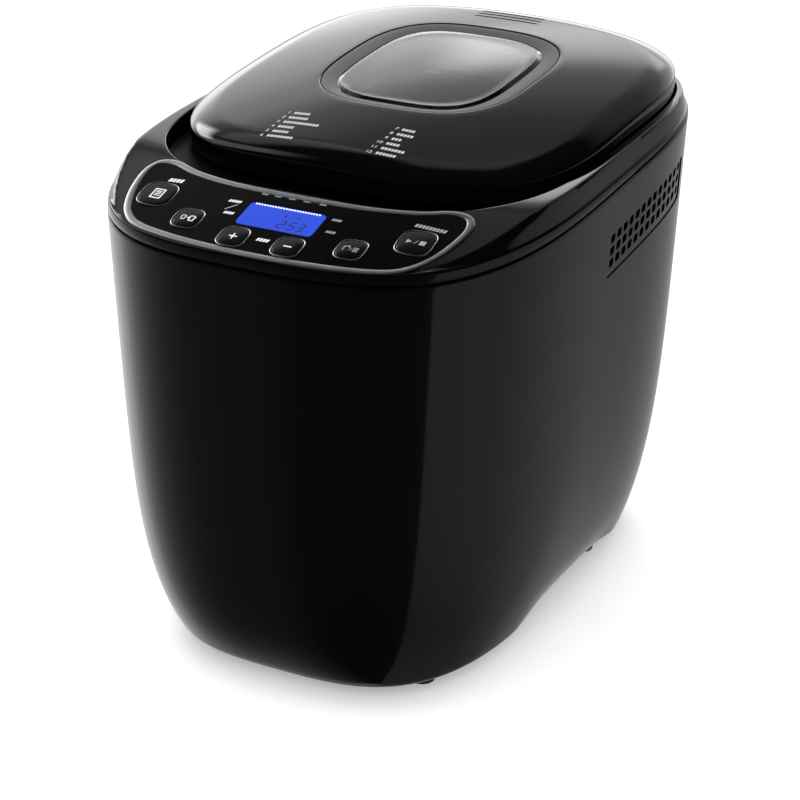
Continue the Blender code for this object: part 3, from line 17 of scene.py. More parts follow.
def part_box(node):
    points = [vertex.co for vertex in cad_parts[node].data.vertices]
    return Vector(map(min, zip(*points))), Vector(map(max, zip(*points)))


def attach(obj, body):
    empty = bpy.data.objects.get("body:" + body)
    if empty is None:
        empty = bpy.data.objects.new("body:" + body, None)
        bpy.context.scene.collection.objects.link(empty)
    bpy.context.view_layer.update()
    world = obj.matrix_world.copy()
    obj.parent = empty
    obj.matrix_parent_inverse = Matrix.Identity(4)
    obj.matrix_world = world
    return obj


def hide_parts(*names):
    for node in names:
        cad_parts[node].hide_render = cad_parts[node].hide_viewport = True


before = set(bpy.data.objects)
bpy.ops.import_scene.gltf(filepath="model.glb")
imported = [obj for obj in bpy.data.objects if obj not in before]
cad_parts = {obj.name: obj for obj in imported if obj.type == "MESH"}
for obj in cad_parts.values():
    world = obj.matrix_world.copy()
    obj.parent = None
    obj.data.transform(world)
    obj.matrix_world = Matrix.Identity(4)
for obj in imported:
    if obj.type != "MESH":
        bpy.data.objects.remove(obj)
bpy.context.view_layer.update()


# %% [markdown]
# The casing is a rounded box that narrows towards the floor. Its plan is a superellipse: a curve
# between an ellipse and a rectangle, set by one exponent, so the corners are soft everywhere and no
# flat meets an arc. All the top mouldings are measured from the middle of the casing.

# %% The sizes everything follows
shell_low, shell_high = (Vector(corner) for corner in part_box("body_shell"))
MIDDLE_Y = (shell_low.y + shell_high.y) / 2
HALF_WIDTH = shell_high.x
HALF_DEPTH = (shell_high.y - shell_low.y) / 2
BOTTOM = shell_low.z
PARTING_HEIGHT = 0.274
PARTING_SLOPE = 0.0594
FRONT_SQUARENESS = 3.14
BACK_SQUARENESS = 4.4
SIDE_TAPER = (0.104, 0.1319, 5.25)
FRONT_TAPER = (0.010, 0.1277, 6.76)
BACK_TAPER = (0.033, 0.030, 6.0)
WALL = 0.0025
SMOOTH_POINTS = 160
FINE_STEPS = 12
SHARP_ANGLE = math.radians(35)

print("casing", round(2 * HALF_WIDTH, 4), "wide and", round(2 * HALF_DEPTH, 4), "deep")


# %% Curves in plan
def signed_power(value, power):
    return math.copysign(abs(value) ** power, value)


def quarter(half_width, reach, square, count):
    """Points from +X to the end of the Y half axis, evenly spread along the curve."""
    steps = count * FINE_STEPS
    fine = []
    for step in range(steps + 1):
        turn = math.pi / 2 * step / steps
        x = half_width * signed_power(math.cos(turn), 2 / square) if step < steps else 0.0
        fine.append(Vector((x, reach * signed_power(math.sin(turn), 2 / square))))
    lengths = [0.0]
    for here, there in zip(fine, fine[1:]):
        lengths.append(lengths[-1] + (there - here).length)
    points = []
    i = 0
    for step in range(count):
        target = lengths[-1] * step / count
        while lengths[i + 1] < target:
            i += 1
        share = (target - lengths[i]) / (lengths[i + 1] - lengths[i])
        points.append(fine[i].lerp(fine[i + 1], share))
    return points, fine[-1]


def superellipse(half_width, middle, front, back, front_square, back_square, count=SMOOTH_POINTS):
    """Plan points, evenly spread in each quarter, anticlockwise from +X."""
    behind, rear = quarter(half_width, back, back_square, count // 4)
    before, nose = quarter(half_width, front, front_square, count // 4)
    plan = behind + [rear]
    plan += [Vector((-p.x, p.y)) for p in reversed(behind)]
    plan += [Vector((-p.x, -p.y)) for p in before[1:]]
    plan += [Vector((nose.x, -nose.y))]
    plan += [Vector((p.x, -p.y)) for p in reversed(before[1:])]
    return [Vector((p.x, p.y + middle)) for p in plan]


def oblong(half_x, half_y, square, middle=0.0, count=SMOOTH_POINTS):
    """A superellipse that is the same at the front and at the back."""
    return superellipse(half_x, middle, half_y, half_y, square, square, count)


def inset(points, distance):
    """Moves an anticlockwise outline inwards."""
    moved = []
    for i, point in enumerate(points):
        along = (points[(i + 1) % len(points)] - points[i - 1]).normalized()
        moved.append(point + Vector((-along.y, along.x)) * distance)
    return moved


def raised(points, height):
    """Plan points given one height."""
    return [Vector((p.x, p.y, height)) for p in points]


def laid(points, surface, offset=0.0):
    """Plan points laid on a surface, which gives a height for x and y, or a little over it."""
    return [Vector((p.x, p.y, surface(p.x, p.y) + offset)) for p in points]


# %% [markdown]
# A moulding is a loft: rings of points, each bridged to the next. Blender's bridge_loops does the
# joining. A hollow moulding goes out over the outside, round the edge and back along the inside, and
# its last ring is bridged to its first, so it is one closed wall with a real thickness.

# %% Bmesh helpers
RING_SPACING = 0.25


def add_ring(bm, points):
    """One closed loop of points and its edges."""
    verts = [bm.verts.new(point) for point in points]
    return verts, [bm.edges.new((verts[i - 1], verts[i])) for i in range(len(verts))]


def bridge_rings(bm, rings, closed=False):
    """Joins rings one to the next. They stand apart while they are bridged, because the bridge between
    two rings in one plane can cross over, and then every point goes to its own place."""
    apart = normal([Vector(point) for point in rings[0]]) * RING_SPACING
    made = [add_ring(bm, [Vector(p) + apart * i for p in ring]) for i, ring in enumerate(rings)]
    loops = [edges for _, edges in made]
    pairs = list(zip(loops, loops[1:]))
    if closed:
        pairs.append((loops[-1], loops[0]))
    for here, there in pairs:
        bmesh.ops.bridge_loops(bm, edges=here + there)
    for (verts, _), ring in zip(made, rings):
        for vert, point in zip(verts, ring):
            vert.co = point
    return loops


def solid_from(bm, name):
    """An object that rides on nothing yet."""
    mesh = bpy.data.meshes.new(name)
    bm.to_mesh(mesh)
    bm.free()
    made = bpy.data.objects.new(name, mesh)
    bpy.context.scene.collection.objects.link(made)
    return made


def smooth_faces(mesh):
    mesh.shade_smooth()
    mesh.set_sharp_from_angle(angle=SHARP_ANGLE)


def applied(thing):
    """A mesh of what an object becomes with its modifiers, or of a text."""
    graph = bpy.context.evaluated_depsgraph_get()
    return bpy.data.meshes.new_from_object(thing.evaluated_get(graph))


def dress(piece, material):
    piece.data.materials.clear()
    piece.data.materials.append(material)


def adopt(piece, body, stands_for, material):
    """Gives a finished piece its material, its body and the nodes it stands for."""
    dress(piece, material)
    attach(piece, body)
    if stands_for:
        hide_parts(*stands_for)
    return piece


def keep(name, bm, body, stands_for, material):
    """Makes an object of a bmesh, in the casing's coordinates, and lets it ride on a body."""
    bmesh.ops.translate(bm, vec=(0, MIDDLE_Y, 0), verts=bm.verts)
    piece = solid_from(bm, name)
    smooth_faces(piece.data)
    return adopt(piece, body, stands_for, material)


def lofted(rings, closed=False):
    """A bmesh of bridged rings: a closed wall, or a solid with its two ends filled."""
    bm = bmesh.new()
    loops = bridge_rings(bm, rings, closed)
    if not closed:
        for loop in (loops[0], loops[-1]):
            bmesh.ops.contextual_create(bm, geom=loop)
    bmesh.ops.recalc_face_normals(bm, faces=bm.faces)
    return bm


def loft(name, rings, body, stands_for, material, closed=False):
    return keep(name, lofted(rings, closed), body, stands_for, material)


def cutter(name, rings):
    """A solid used only to cut, in the casing's coordinates."""
    bm = lofted(rings)
    bmesh.ops.translate(bm, vec=(0, MIDDLE_Y, 0), verts=bm.verts)
    return solid_from(bm, name)


def cut_away(piece, cutters, operation="DIFFERENCE", solver="EXACT"):
    """Takes solids out of a piece, or keeps what is inside them, and applies the result."""
    for tool in cutters:
        step = piece.modifiers.new("cut", "BOOLEAN")
        step.operation = operation
        step.solver = solver
        step.object = tool
    mesh = applied(piece)
    piece.modifiers.clear()
    piece.data = mesh
    smooth_faces(mesh)
    for tool in cutters:
        bpy.data.objects.remove(tool, do_unlink=True)
    return piece


# %% [markdown]
# A finish is a small graph of shader nodes. Written node by node it is hard to read, so this class
# wraps a socket and lets ordinary sums add the Math nodes.

# %% Shader sums
class Wire:
    """A socket that can be added, taken away and multiplied like a number."""

    def __init__(self, tree, socket):
        self.tree = tree
        self.socket = socket

    def node(self, kind, settings, **inputs):
        """Adds a node, makes its settings, then fills its sockets by name or number."""
        made = self.tree.nodes.new(kind)
        for key, value in settings.items():
            if key == "stops":
                ramp = made.color_ramp
                while len(ramp.elements) > 1:
                    ramp.elements.remove(ramp.elements[-1])
                for i, (place, level) in enumerate(value):
                    stop = ramp.elements[0] if i == 0 else ramp.elements.new(place)
                    stop.position = place
                    stop.color = (level, level, level, 1)
            else:
                setattr(made, key, value)
        for key, value in inputs.items():
            socket = made.inputs[int(key[1:]) if key[0] == "_" else key.replace("_", " ")]
            if isinstance(value, Wire):
                self.tree.links.new(value.socket, socket)
            else:
                socket.default_value = value
        return made

    def sum(self, operation, *values):
        """A Math node of one or two values."""
        given = {f"_{i}": value for i, value in enumerate(values)}
        made = self.node("ShaderNodeMath", {"operation": operation}, **given)
        return Wire(self.tree, made.outputs[0])

    def __add__(self, other):
        return self.sum("ADD", self, other)

    __radd__ = __add__

    def __mul__(self, other):
        return self.sum("MULTIPLY", self, other)

    __rmul__ = __mul__

    def __sub__(self, other):
        return self.sum("SUBTRACT", self, other)

    def __rsub__(self, other):
        return self.sum("SUBTRACT", other, self)

    def smooth(self, low, high):
        """0 below low, 1 above high, and an easy curve between."""
        eased = {"interpolation_type": "SMOOTHSTEP"}
        made = self.node("ShaderNodeMapRange", eased, Value=self, From_Min=low, From_Max=high)
        return Wire(self.tree, made.outputs[0])


def start_finish(name, colour, roughness, metallic=0.0, **sockets):
    """A Principled material with its even values set on its sockets, its shader and its places."""
    made = bpy.data.materials.new(name)
    made.use_nodes = True
    tree = made.node_tree
    shader = tree.nodes["Principled BSDF"]
    shader.inputs["Base Color"].default_value = (*colour, 1)
    shader.inputs["Roughness"].default_value = roughness
    shader.inputs["Metallic"].default_value = metallic
    for key, value in sockets.items():
        shader.inputs[key.replace("_", " ")].default_value = value
    places = tree.nodes.new("ShaderNodeTexCoord")
    return made, shader, Wire(tree, places.outputs["Object"])


def noise(place, scale, detail=2.0, rough=0.5):
    """Soft random values round 0.5."""
    made = place.node("ShaderNodeTexNoise", {}, Vector=place, Scale=scale, Detail=detail, Roughness=rough)
    return Wire(place.tree, made.outputs["Fac"])


def feed(place, wire, shader, socket):
    place.tree.links.new(wire.socket, shader.inputs[socket])


def bump(place, height, shader, strength, distance):
    made = place.node("ShaderNodeBump", {}, Strength=strength, Distance=distance, Height=height)
    place.tree.links.new(made.outputs["Normal"], shader.inputs["Normal"])


def tint(place, factor, dark, light, shader):
    """Base colour between two colours."""
    made = place.node("ShaderNodeMix", {"data_type": "RGBA"}, _0=factor, _6=(*dark, 1), _7=(*light, 1))
    place.tree.links.new(made.outputs[2], shader.inputs["Base Color"])


# %% [markdown]
# Injection-moulded gloss ABS is nearly black and mirror-like, but never perfect: the mould leaves a
# very long, very shallow waviness, and handling leaves faint smears that show only as small changes
# in roughness. Both are kept far below what reads as texture.

# %% Finishes for plastics
def gloss_black():
    made, shader, place = start_finish("gloss_black_plastic", (0.0010, 0.0010, 0.0011), 0.06)
    smears = noise(place, 14.0, 3.0, 0.55).smooth(0.45, 0.75)
    feed(place, smears * 0.045 + 0.045, shader, "Roughness")
    bump(place, noise(place, 9.0, 0.0), shader, 0.06, 0.0006)
    return made


def textured_plastic(name, dark, light, roughness, scale=1400.0):
    made, shader, place = start_finish(name, light, roughness)
    grain = noise(place, scale, 2.0, 0.6)
    tint(place, noise(place, 30.0, 2.0), dark, light, shader)
    feed(place, grain * 0.12 + (roughness - 0.06), shader, "Roughness")
    bump(place, grain, shader, 0.25, 0.0002)
    return made


def plain_marks(name, colour, glow=0.0):
    made, shader, place = start_finish(name, colour, 0.45)
    feed(place, noise(place, 900.0, 1.0) * 0.1 + 0.4, shader, "Roughness")
    if glow:
        shader.inputs["Emission Color"].default_value = (*colour, 1)
        shader.inputs["Emission Strength"].default_value = glow
    return made


GLOSS = gloss_black()
MATT = textured_plastic("matt_black_plastic", (0.010, 0.010, 0.010), (0.022, 0.022, 0.023), 0.5)
GREY = textured_plastic("grey_bezel_plastic", (0.050, 0.051, 0.053), (0.062, 0.063, 0.066), 0.50, 900.0)
RUBBER = textured_plastic("foot_rubber", (0.008, 0.008, 0.008), (0.016, 0.016, 0.016), 0.75, 2200.0)
SILICONE = textured_plastic("seal_silicone", (0.16, 0.15, 0.14), (0.22, 0.21, 0.20), 0.55, 700.0)
PRINT = plain_marks("white_print", (0.62, 0.63, 0.65))
PRINT_LIST = plain_marks("pale_print", (0.42, 0.43, 0.44))
PRINT_DIM = plain_marks("grey_print", (0.22, 0.23, 0.24))


# %% [markdown]
# Metals come next. Drawn steel has a faint rolled grain in one direction, cast and zinc-coated metal
# is grainy all over, and the pan's coating is a dark speckled film. The control panel's film reflects
# less than the gloss round it, so its specular level is low. The deck's well is given a low specular
# level too, as painted shade for the shadow of the lid over it.

# %% Finishes for metals and glass
ROLLED_GRAIN = (4.0, 900.0, 900.0)


def sheet_metal(name, colour, roughness):
    made, shader, place = start_finish(name, colour, roughness, 1.0)
    mapped = place.node("ShaderNodeMapping", {}, Vector=place, Scale=ROLLED_GRAIN)
    grain = noise(Wire(place.tree, mapped.outputs[0]), 1.0, 3.0)
    feed(place, grain * 0.2 + (roughness - 0.1), shader, "Roughness")
    bump(place, grain, shader, 0.08, 0.0002)
    return made


def cast_metal(name, colour, roughness, metallic=1.0):
    made, shader, place = start_finish(name, colour, roughness, metallic)
    grain = noise(place, 1500.0, 2.0)
    feed(place, grain * 0.25 + (roughness - 0.12), shader, "Roughness")
    bump(place, grain, shader, 0.3, 0.0003)
    return made


def coating():
    made, shader, place = start_finish("non_stick_coating", (0.03, 0.028, 0.027), 0.42)
    specks = noise(place, 1100.0, 1.0).smooth(0.66, 0.70)
    tint(place, specks, (0.022, 0.021, 0.020), (0.10, 0.10, 0.10), shader)
    bump(place, noise(place, 700.0, 2.0), shader, 0.15, 0.0002)
    return made


def window_pane():
    made, shader, place = start_finish("window_pane", (0.80, 0.83, 0.82), 0.04, IOR=1.45)
    shader.inputs["Transmission Weight"].default_value = 1.0
    feed(place, noise(place, 20.0, 2.0) * 0.03 + 0.03, shader, "Roughness")
    return made


KEY_GLOSS = textured_plastic("key_gloss", (0.0012, 0.0012, 0.0014), (0.0016, 0.0016, 0.0018), 0.12, 40.0)
PANEL_FACE = textured_plastic("panel_film", (0.0008, 0.0008, 0.0009), (0.0012, 0.0012, 0.0013), 0.16, 30.0)
SHADED = textured_plastic("shaded_black_plastic", (0.0010, 0.0010, 0.0010), (0.0014, 0.0014, 0.0014), 0.45)
# The well's low specular level is painted shade for the lid's shadow; the panel film's is its own.
for finish, shine in ((PANEL_FACE, 0.06), (SHADED, 0.10)):
    finish.node_tree.nodes["Principled BSDF"].inputs["Specular IOR Level"].default_value = shine
SILVER = sheet_metal("silver_print", (0.56, 0.58, 0.62), 0.40)
STEEL = sheet_metal("drawn_steel", (0.56, 0.56, 0.57), 0.28)
GALVANISED = cast_metal("galvanised_sheet", (0.46, 0.47, 0.48), 0.42, 0.6)
CAST = cast_metal("cast_aluminium", (0.55, 0.55, 0.56), 0.5)
BRONZE = cast_metal("bearing_bronze", (0.62, 0.43, 0.18), 0.35)
COATING = coating()
BOARD = textured_plastic("circuit_board", (0.010, 0.070, 0.022), (0.014, 0.095, 0.030), 0.45, 500.0)
CHROME = sheet_metal("bright_ring", (0.86, 0.86, 0.88), 0.34)
BACKLIGHT = plain_marks("display_blue", (0.001, 0.033, 0.40), 0.22)
DIGITS = plain_marks("display_digits", (0.003, 0.006, 0.060))
TICKS = plain_marks("display_ticks", (0.75, 0.80, 1.0), 0.5)
PANE = window_pane()


# %% [markdown]
# The casing is one deep moulding. It narrows gently at first and then rolls under at the bottom,
# and the bottom edge rises at each side so that hands can get under it. Rings run from the parting
# line down, round a small edge radius, and up the inside of the wall.

# %% Casing
ARCH_RISE = 0.0085
ARCH_MIDDLE = 0.022
ARCH_REACH = 0.075
ARCH_START = 0.85


def parting_z(x, y):
    return PARTING_HEIGHT + PARTING_SLOPE * y


def narrowed(straight, curved, power, depth):
    return 1 - straight * depth - curved * depth**power


def casing_plan(depth):
    """Casing outline from 0 at the parting line to 1 at the bottom edge."""
    side = HALF_WIDTH * narrowed(*SIDE_TAPER, depth)
    front, back = (HALF_DEPTH * narrowed(*taper, depth) for taper in (FRONT_TAPER, BACK_TAPER))
    return superellipse(side, 0.0, front, back, FRONT_SQUARENESS, BACK_SQUARENESS)


def casing_ring(depth, into_wall=0.0, lift=0.0):
    top = casing_plan(0.0)
    here = casing_plan(depth)
    half = max(p.x for p in here)
    share = max((depth - ARCH_START) / (1 - ARCH_START), 0.0) ** 2
    plan = inset(here, into_wall) if into_wall else here
    ring = []
    for start, point, place in zip(top, here, plan):
        z = parting_z(start.x, start.y) * (1 - depth) + BOTTOM * depth
        along = min(abs(point.y - ARCH_MIDDLE) / ARCH_REACH, 1.0)
        across = min(max((abs(point.x) / half - 0.70) / 0.22, 0.0), 1.0)
        rise = ARCH_RISE * (1 - along**4) ** 2 * across * across * (3 - 2 * across)
        ring.append(Vector((place.x, place.y, z + share * rise + lift)))
    return ring


def vent_edge(y, rise, side, proud):
    """A point over the flank, measured up from the vent's sloping lower edge."""
    z = VENT_LOW + VENT_SLOPE * (y - VENT_FRONT) + rise
    return Vector((side * (flank_x(y, z) + proud), y, z))


def flank_x(y, z):
    """Half width of the casing at a place on its side."""
    top = parting_z(0, y)
    depth = (top - z) / (top - BOTTOM)
    square, taper = (FRONT_SQUARENESS, FRONT_TAPER) if y < 0 else (BACK_SQUARENESS, BACK_TAPER)
    reach = HALF_DEPTH * narrowed(*taper, depth)
    return HALF_WIDTH * narrowed(*SIDE_TAPER, depth) * (1 - abs(y / reach) ** square) ** (1 / square)


VENT_FRONT = -0.002
VENT_BACK = 0.116
VENT_LOW = 0.2215
VENT_HIGH = 0.027
VENT_SLOPE = 0.10
VENT_CORNER = 0.004


def vent_outline(side, proud):
    """A rounded four-sided patch drawn on the flank."""
    low_y, high_y, low_z, high_z, corner = VENT_FRONT, VENT_BACK, 0.0, VENT_HIGH, VENT_CORNER
    points = []
    for cy, cz, start in (
        (high_y - corner, high_z - corner, 0),
        (low_y + corner, high_z - corner, 90),
        (low_y + corner, low_z + corner, 180),
        (high_y - corner, low_z + corner, 270),
    ):
        for step in range(7):
            turn = math.radians(start + 15 * step)
            points.append((cy + corner * math.cos(turn), cz + corner * math.sin(turn)))
    closed = []
    for i, (y, rise) in enumerate(points):
        after = points[(i + 1) % len(points)]
        pieces = max(1, round(math.dist((y, rise), after) / 0.006))
        for step in range(pieces):
            share = step / pieces
            here = (y + (after[0] - y) * share, rise + (after[1] - rise) * share)
            closed.append(vent_edge(*here, side, proud))
    return closed


def casing():
    depths = [0.0, 0.004, 0.012, 0.03]
    depths += [0.03 + 0.82 * step / 22 for step in range(1, 23)]
    depths += [0.87, 0.89, 0.905, 0.92, 0.935, 0.947, 0.957, 0.967, 0.976, 0.984]
    rings = [casing_ring(0.0, 0.0006, -0.0001)]
    rings += [casing_ring(depth) for depth in depths[1:]]
    edge = ((0.991, 0.0002), (0.996, 0.0009), (1.0, 0.0022), (1.0, 0.0040), (0.985, 0.0045))
    rings += [casing_ring(depth, into) for depth, into in edge]
    rings += [casing_ring(depth, WALL) for depth in (0.955, 0.92, 0.87, 0.78, 0.6, 0.4, 0.2, 0.05, 0.0)]
    shell = loft("casing_shell", rings, "casing", ["body_shell"], GLOSS, closed=True)
    cutters = []
    for side in (-1, 1):
        outlines = [vent_outline(side, proud) for proud in (-0.02, 0.01)]
        cutters.append(cutter(f"vent_opening_{side}", outlines))
    return cut_away(shell, cutters)


casing_shell = casing()
print("casing faces", len(casing_shell.data.polygons))


# %% [markdown]
# Steam and heat leave through a small grille in each flank. It starts as a flat grid with one cell
# for each hole. Each cell is inset, the corners of the inner square are rounded, and the square is
# deleted. Only then is the sheet laid over the curved flank and given its thickness.

# %% Vent grilles
VENT_COLUMNS = 13
VENT_ROWS = 3
VENT_PITCH_Y = 0.0086
VENT_PITCH_Z = 0.0074
VENT_HOLE = (0.0060, 0.0052)
VENT_GAP = 0.0004
VENT_THICKNESS = 0.0016


def grille(name, side, node):
    first_y = (VENT_FRONT + VENT_BACK - VENT_PITCH_Y * VENT_COLUMNS) / 2
    first_z = VENT_HIGH / 2 + 0.0015 - VENT_PITCH_Z * VENT_ROWS / 2
    lines_y = [VENT_FRONT + VENT_GAP] + [first_y + VENT_PITCH_Y * i for i in range(VENT_COLUMNS + 1)]
    lines_y.append(VENT_BACK - VENT_GAP)
    lines_z = [VENT_GAP] + [first_z + VENT_PITCH_Z * i for i in range(VENT_ROWS + 1)]
    lines_z.append(VENT_HIGH - VENT_GAP)
    bm = bmesh.new()
    bmesh.ops.create_grid(bm, x_segments=len(lines_y) - 1, y_segments=len(lines_z) - 1, size=0.5)
    for vert in bm.verts:
        column = round((vert.co.x + 0.5) * (len(lines_y) - 1))
        row = round((vert.co.y + 0.5) * (len(lines_z) - 1))
        vert.co = (lines_y[column], lines_z[row], 0)
    cells = []
    for face in bm.faces:
        middle = face.calc_center_median()
        if lines_y[1] < middle.x < lines_y[-2] and lines_z[1] < middle.y < lines_z[-2]:
            cells.append(face)
    bmesh.ops.inset_individual(bm, faces=cells, thickness=0.0010)
    for face in cells:
        middle = face.calc_center_median()
        for vert in face.verts:
            vert.co.x = middle.x + math.copysign(VENT_HOLE[0] / 2, vert.co.x - middle.x)
            vert.co.y = middle.y + math.copysign(VENT_HOLE[1] / 2, vert.co.y - middle.y)
    centres = [face.calc_center_median() for face in cells]
    corners = list({vert for face in cells for vert in face.verts})
    rounding = {"offset": 0.0015, "segments": 3, "profile": 0.5, "material": -1, "clamp_overlap": True}
    bmesh.ops.bevel(bm, geom=corners, affect="VERTICES", **rounding)
    reach = VENT_HOLE[1] / 4
    holes = [f for f in bm.faces if any((f.calc_center_median() - c).length < reach for c in centres)]
    bmesh.ops.delete(bm, geom=holes, context="FACES")
    for vert in bm.verts:
        vert.co = vent_edge(vert.co.x, vert.co.y, side, -0.0006)
    bmesh.ops.recalc_face_normals(bm, faces=bm.faces)
    if sum(face.normal.x for face in bm.faces) * side < 0:
        bmesh.ops.reverse_faces(bm, faces=bm.faces)
    bmesh.ops.solidify(bm, geom=bm.faces, thickness=VENT_THICKNESS)
    bmesh.ops.recalc_face_normals(bm, faces=bm.faces)
    piece = keep(name, bm, "casing", [node], GLOSS)
    print(name, len(piece.data.polygons), "faces", len(holes), "holes")


grille("grille_left", -1, "vent_grille_left")
grille("grille_right", 1, "vent_grille_right")


# %% [markdown]
# The deck is the top moulding. Its face is two surfaces that melt into each other: the sloping
# control panel with the level sides behind it, and a steep band that climbs from the rim. A smooth
# minimum joins them, so the edge between them is a soft crest and never a crease. Inside the crest
# is the well that the lid closes over. Its finish is rougher, and its reflection is turned down as
# painted shade for the shadow the lid casts into it.

# %% Deck surfaces
RIM_INSET = 0.002
RIM_ROUND = 0.0016
RIM_HEIGHT = 0.0052
RIM_FALL = 0.0034
BAND_SLOPE = 1.9
CREST_BLEND = 0.002
CREST_HALF_WIDTH = 0.1265
CREST_FRONT = -0.1115
CREST_BACK = 0.1697
CREST_SQUARENESS = (3.5, 4.2)
RECESS_FLOOR = 0.2785
DECK_WALL = 0.0023
PANEL_HEIGHT = 0.2816
PANEL_HEIGHT_Y = -0.1253
PANEL_SLOPE = 0.29
PANEL_CROWN = 0.30
PANEL_TILT = math.atan(PANEL_SLOPE)
CREST_HEIGHT = 0.2915
CREST_SLOPE = 0.032
OVEN_Y = 0.036
OVEN_HALF_WIDTH = 0.0945
OVEN_HALF_DEPTH = 0.098
OVEN_SQUARENESS = 5.0


def smooth_least(first, second):
    return (first + second - math.hypot(first - second, CREST_BLEND)) / 2


def panel_z(x, y):
    return PANEL_HEIGHT + PANEL_SLOPE * (y - PANEL_HEIGHT_Y) - PANEL_CROWN * x * x


def crest_z(x, y):
    return smooth_least(panel_z(x, y), CREST_HEIGHT + CREST_SLOPE * y)


def rim_z(x, y):
    share = min(max((y + 0.10) / 0.27, 0.0), 1.0)
    return parting_z(x, y) + RIM_HEIGHT - RIM_FALL * share


def crest_outline(distance=0.0):
    middle = (CREST_FRONT + CREST_BACK) / 2
    reach = (CREST_BACK - CREST_FRONT) / 2
    plan = superellipse(CREST_HALF_WIDTH, middle, reach, reach, *CREST_SQUARENESS)
    return inset(plan, distance) if distance else plan


def oven_outline(grow, count=SMOOTH_POINTS):
    return oblong(OVEN_HALF_WIDTH + grow, OVEN_HALF_DEPTH + grow, OVEN_SQUARENESS, OVEN_Y, count)


def deck_ring(crown, crest, share, drop=0.0):
    """A ring part of the way from the crown of the rim to the crest."""
    ring = []
    for start, end in zip(crown, crest):
        x = start.x + (end.x - start.x) * share
        y = start.y + (end.y - start.y) * share
        climb = start.z + BAND_SLOPE * math.hypot(x - start.x, y - start.y)
        ring.append(Vector((x, y, smooth_least(crest_z(x, y), climb) - drop)))
    return ring


# %% Deck
def deck_rings():
    edge = casing_plan(0.0)

    def edge_ring(distance, surface, offset):
        return laid(inset(edge, distance), surface, offset)

    rings = [
        edge_ring(0.0014, parting_z, 0.0006),
        edge_ring(0.0005, parting_z, 0.0008),
        edge_ring(0.0002, parting_z, 0.0014),
        edge_ring(0.0004, rim_z, -0.0008),
    ]
    for step in range(8):
        turn = math.radians(5 + 75 * step / 7)
        reach = 0.0006 + 0.0014 * (1 - math.cos(turn))
        rings.append(edge_ring(reach, rim_z, RIM_ROUND * math.sin(turn)))
    crown = edge_ring(RIM_INSET, rim_z, RIM_ROUND)
    crest = laid(crest_outline(), crest_z)
    rings.append(crown)
    shares = (0.03, 0.06, 0.1, 0.15, 0.2, 0.27, 0.34, 0.42, 0.5, 0.58, 0.66, 0.74, 0.82, 0.9, 0.96, 1.0)
    rings += [deck_ring(crown, crest, share) for share in shares]
    for into, drop in ((0.0003, 0.0001), (0.0006, 0.0004), (0.0007, 0.0009)):
        rings.append(laid(crest_outline(into), crest_z, -drop))
    for into, lift in ((0.0010, 0.0012), (0.0013, 0.0004), (0.0022, 0.0)):
        rings.append(raised(crest_outline(into), RECESS_FLOOR + lift))
    for grow, drop in ((0.0050, 0.0), (0.0043, 0.0003), (0.0040, 0.0009), (0.0040, DECK_WALL)):
        rings.append(raised(oven_outline(grow), RECESS_FLOOR - drop))
    rings.append(raised(crest_outline(-0.0010), RECESS_FLOOR - DECK_WALL))
    rings.append(laid(crest_outline(-0.0012), crest_z, -0.0050))
    rings.append(deck_ring(crown, crest, 0.45, 0.0044))
    rings.append(edge_ring(0.0034, parting_z, 0.0006))
    return rings


deck = loft("deck", deck_rings(), "casing", ["top_deck"], GLOSS, closed=True)
print("deck faces", len(deck.data.polygons))


# %% [markdown]
# The control panel is a thin plate let into the deck. Its outline is drawn through a few points with
# a Catmull-Rom curve, which passes through every point it is given. The plate itself is a slab that
# follows the deck's slope and crown, trimmed to the outline with a Boolean.

# %% Panel outline
CURVE_STEPS = 8
PANEL_HALF_WIDTH = 0.1025
PANEL_HALF_OUTLINE = (
    (0.000, 0.0617), (0.390, 0.0632), (0.663, 0.0682), (0.839, 0.0747), (0.951, 0.0735),
    (1.000, 0.0640), (0.985, 0.0490), (0.941, 0.0350), (0.868, 0.0230), (0.751, 0.0145),
    (0.527, 0.0090), (0.263, 0.0060), (0.000, 0.0050),
)


def panel_outline(distance=0.0):
    half = [Vector((share * PANEL_HALF_WIDTH, back - HALF_DEPTH)) for share, back in PANEL_HALF_OUTLINE]
    loop = list(reversed(half)) + [Vector((-p.x, p.y)) for p in half[1:-1]]
    count = len(loop)
    points = []
    for i in range(count):
        before, start, end, after = (loop[(i + k) % count] for k in (-1, 0, 1, 2))
        for step in range(CURVE_STEPS):
            t = step / CURVE_STEPS
            bend = 2 * before - 5 * start + 4 * end - after
            twist = 3 * start - 3 * end + after - before
            points.append(0.5 * (2 * start + (end - before) * t + bend * t * t + twist * t**3))
    return inset(points, distance) if distance else points


def panel_frame(x, y):
    return Matrix.Translation((x, y, panel_z(x, y))) @ Matrix.Rotation(PANEL_TILT, 4, "X")


def panel_cutter(name, plan, low, high):
    """The panel's slab between two offsets from its face, inside a plan outline."""
    front, back, reach, columns = -0.180, -0.090, 0.110, 44
    sections = []
    for column in range(columns + 1):
        x = reach - 2 * reach * column / columns
        corners = ((front, low), (back, low), (back, high), (front, high))
        sections.append([Vector((x, y, panel_z(x, y) + offset)) for y, offset in corners])
    slab = cutter(name, sections)
    prism = cutter(f"{name}_plan", [raised(plan, 0.24), raised(plan, 0.32)])
    return cut_away(slab, [prism], "INTERSECT")


def frame_ring(x, y, size, offset):
    """A rounded square in the panel's frame."""
    place = panel_frame(x, y)
    plan = oblong(size / 2, size / 2, KEY_SQUARENESS, count=40)
    return [place @ point for point in raised(plan, offset)]


def display_ring(grow, offset):
    """The display's rounded oblong, grown all round."""
    place = panel_frame(0, DISPLAY_Y)
    plan = oblong(*(half + grow for half in DISPLAY_HALF), DISPLAY_SQUARENESS, count=64)
    return [place @ point for point in raised(plan, offset)]


def display_cutter(name, grow):
    return cutter(name, [display_ring(grow, offset) for offset in (-0.02, 0.02)])


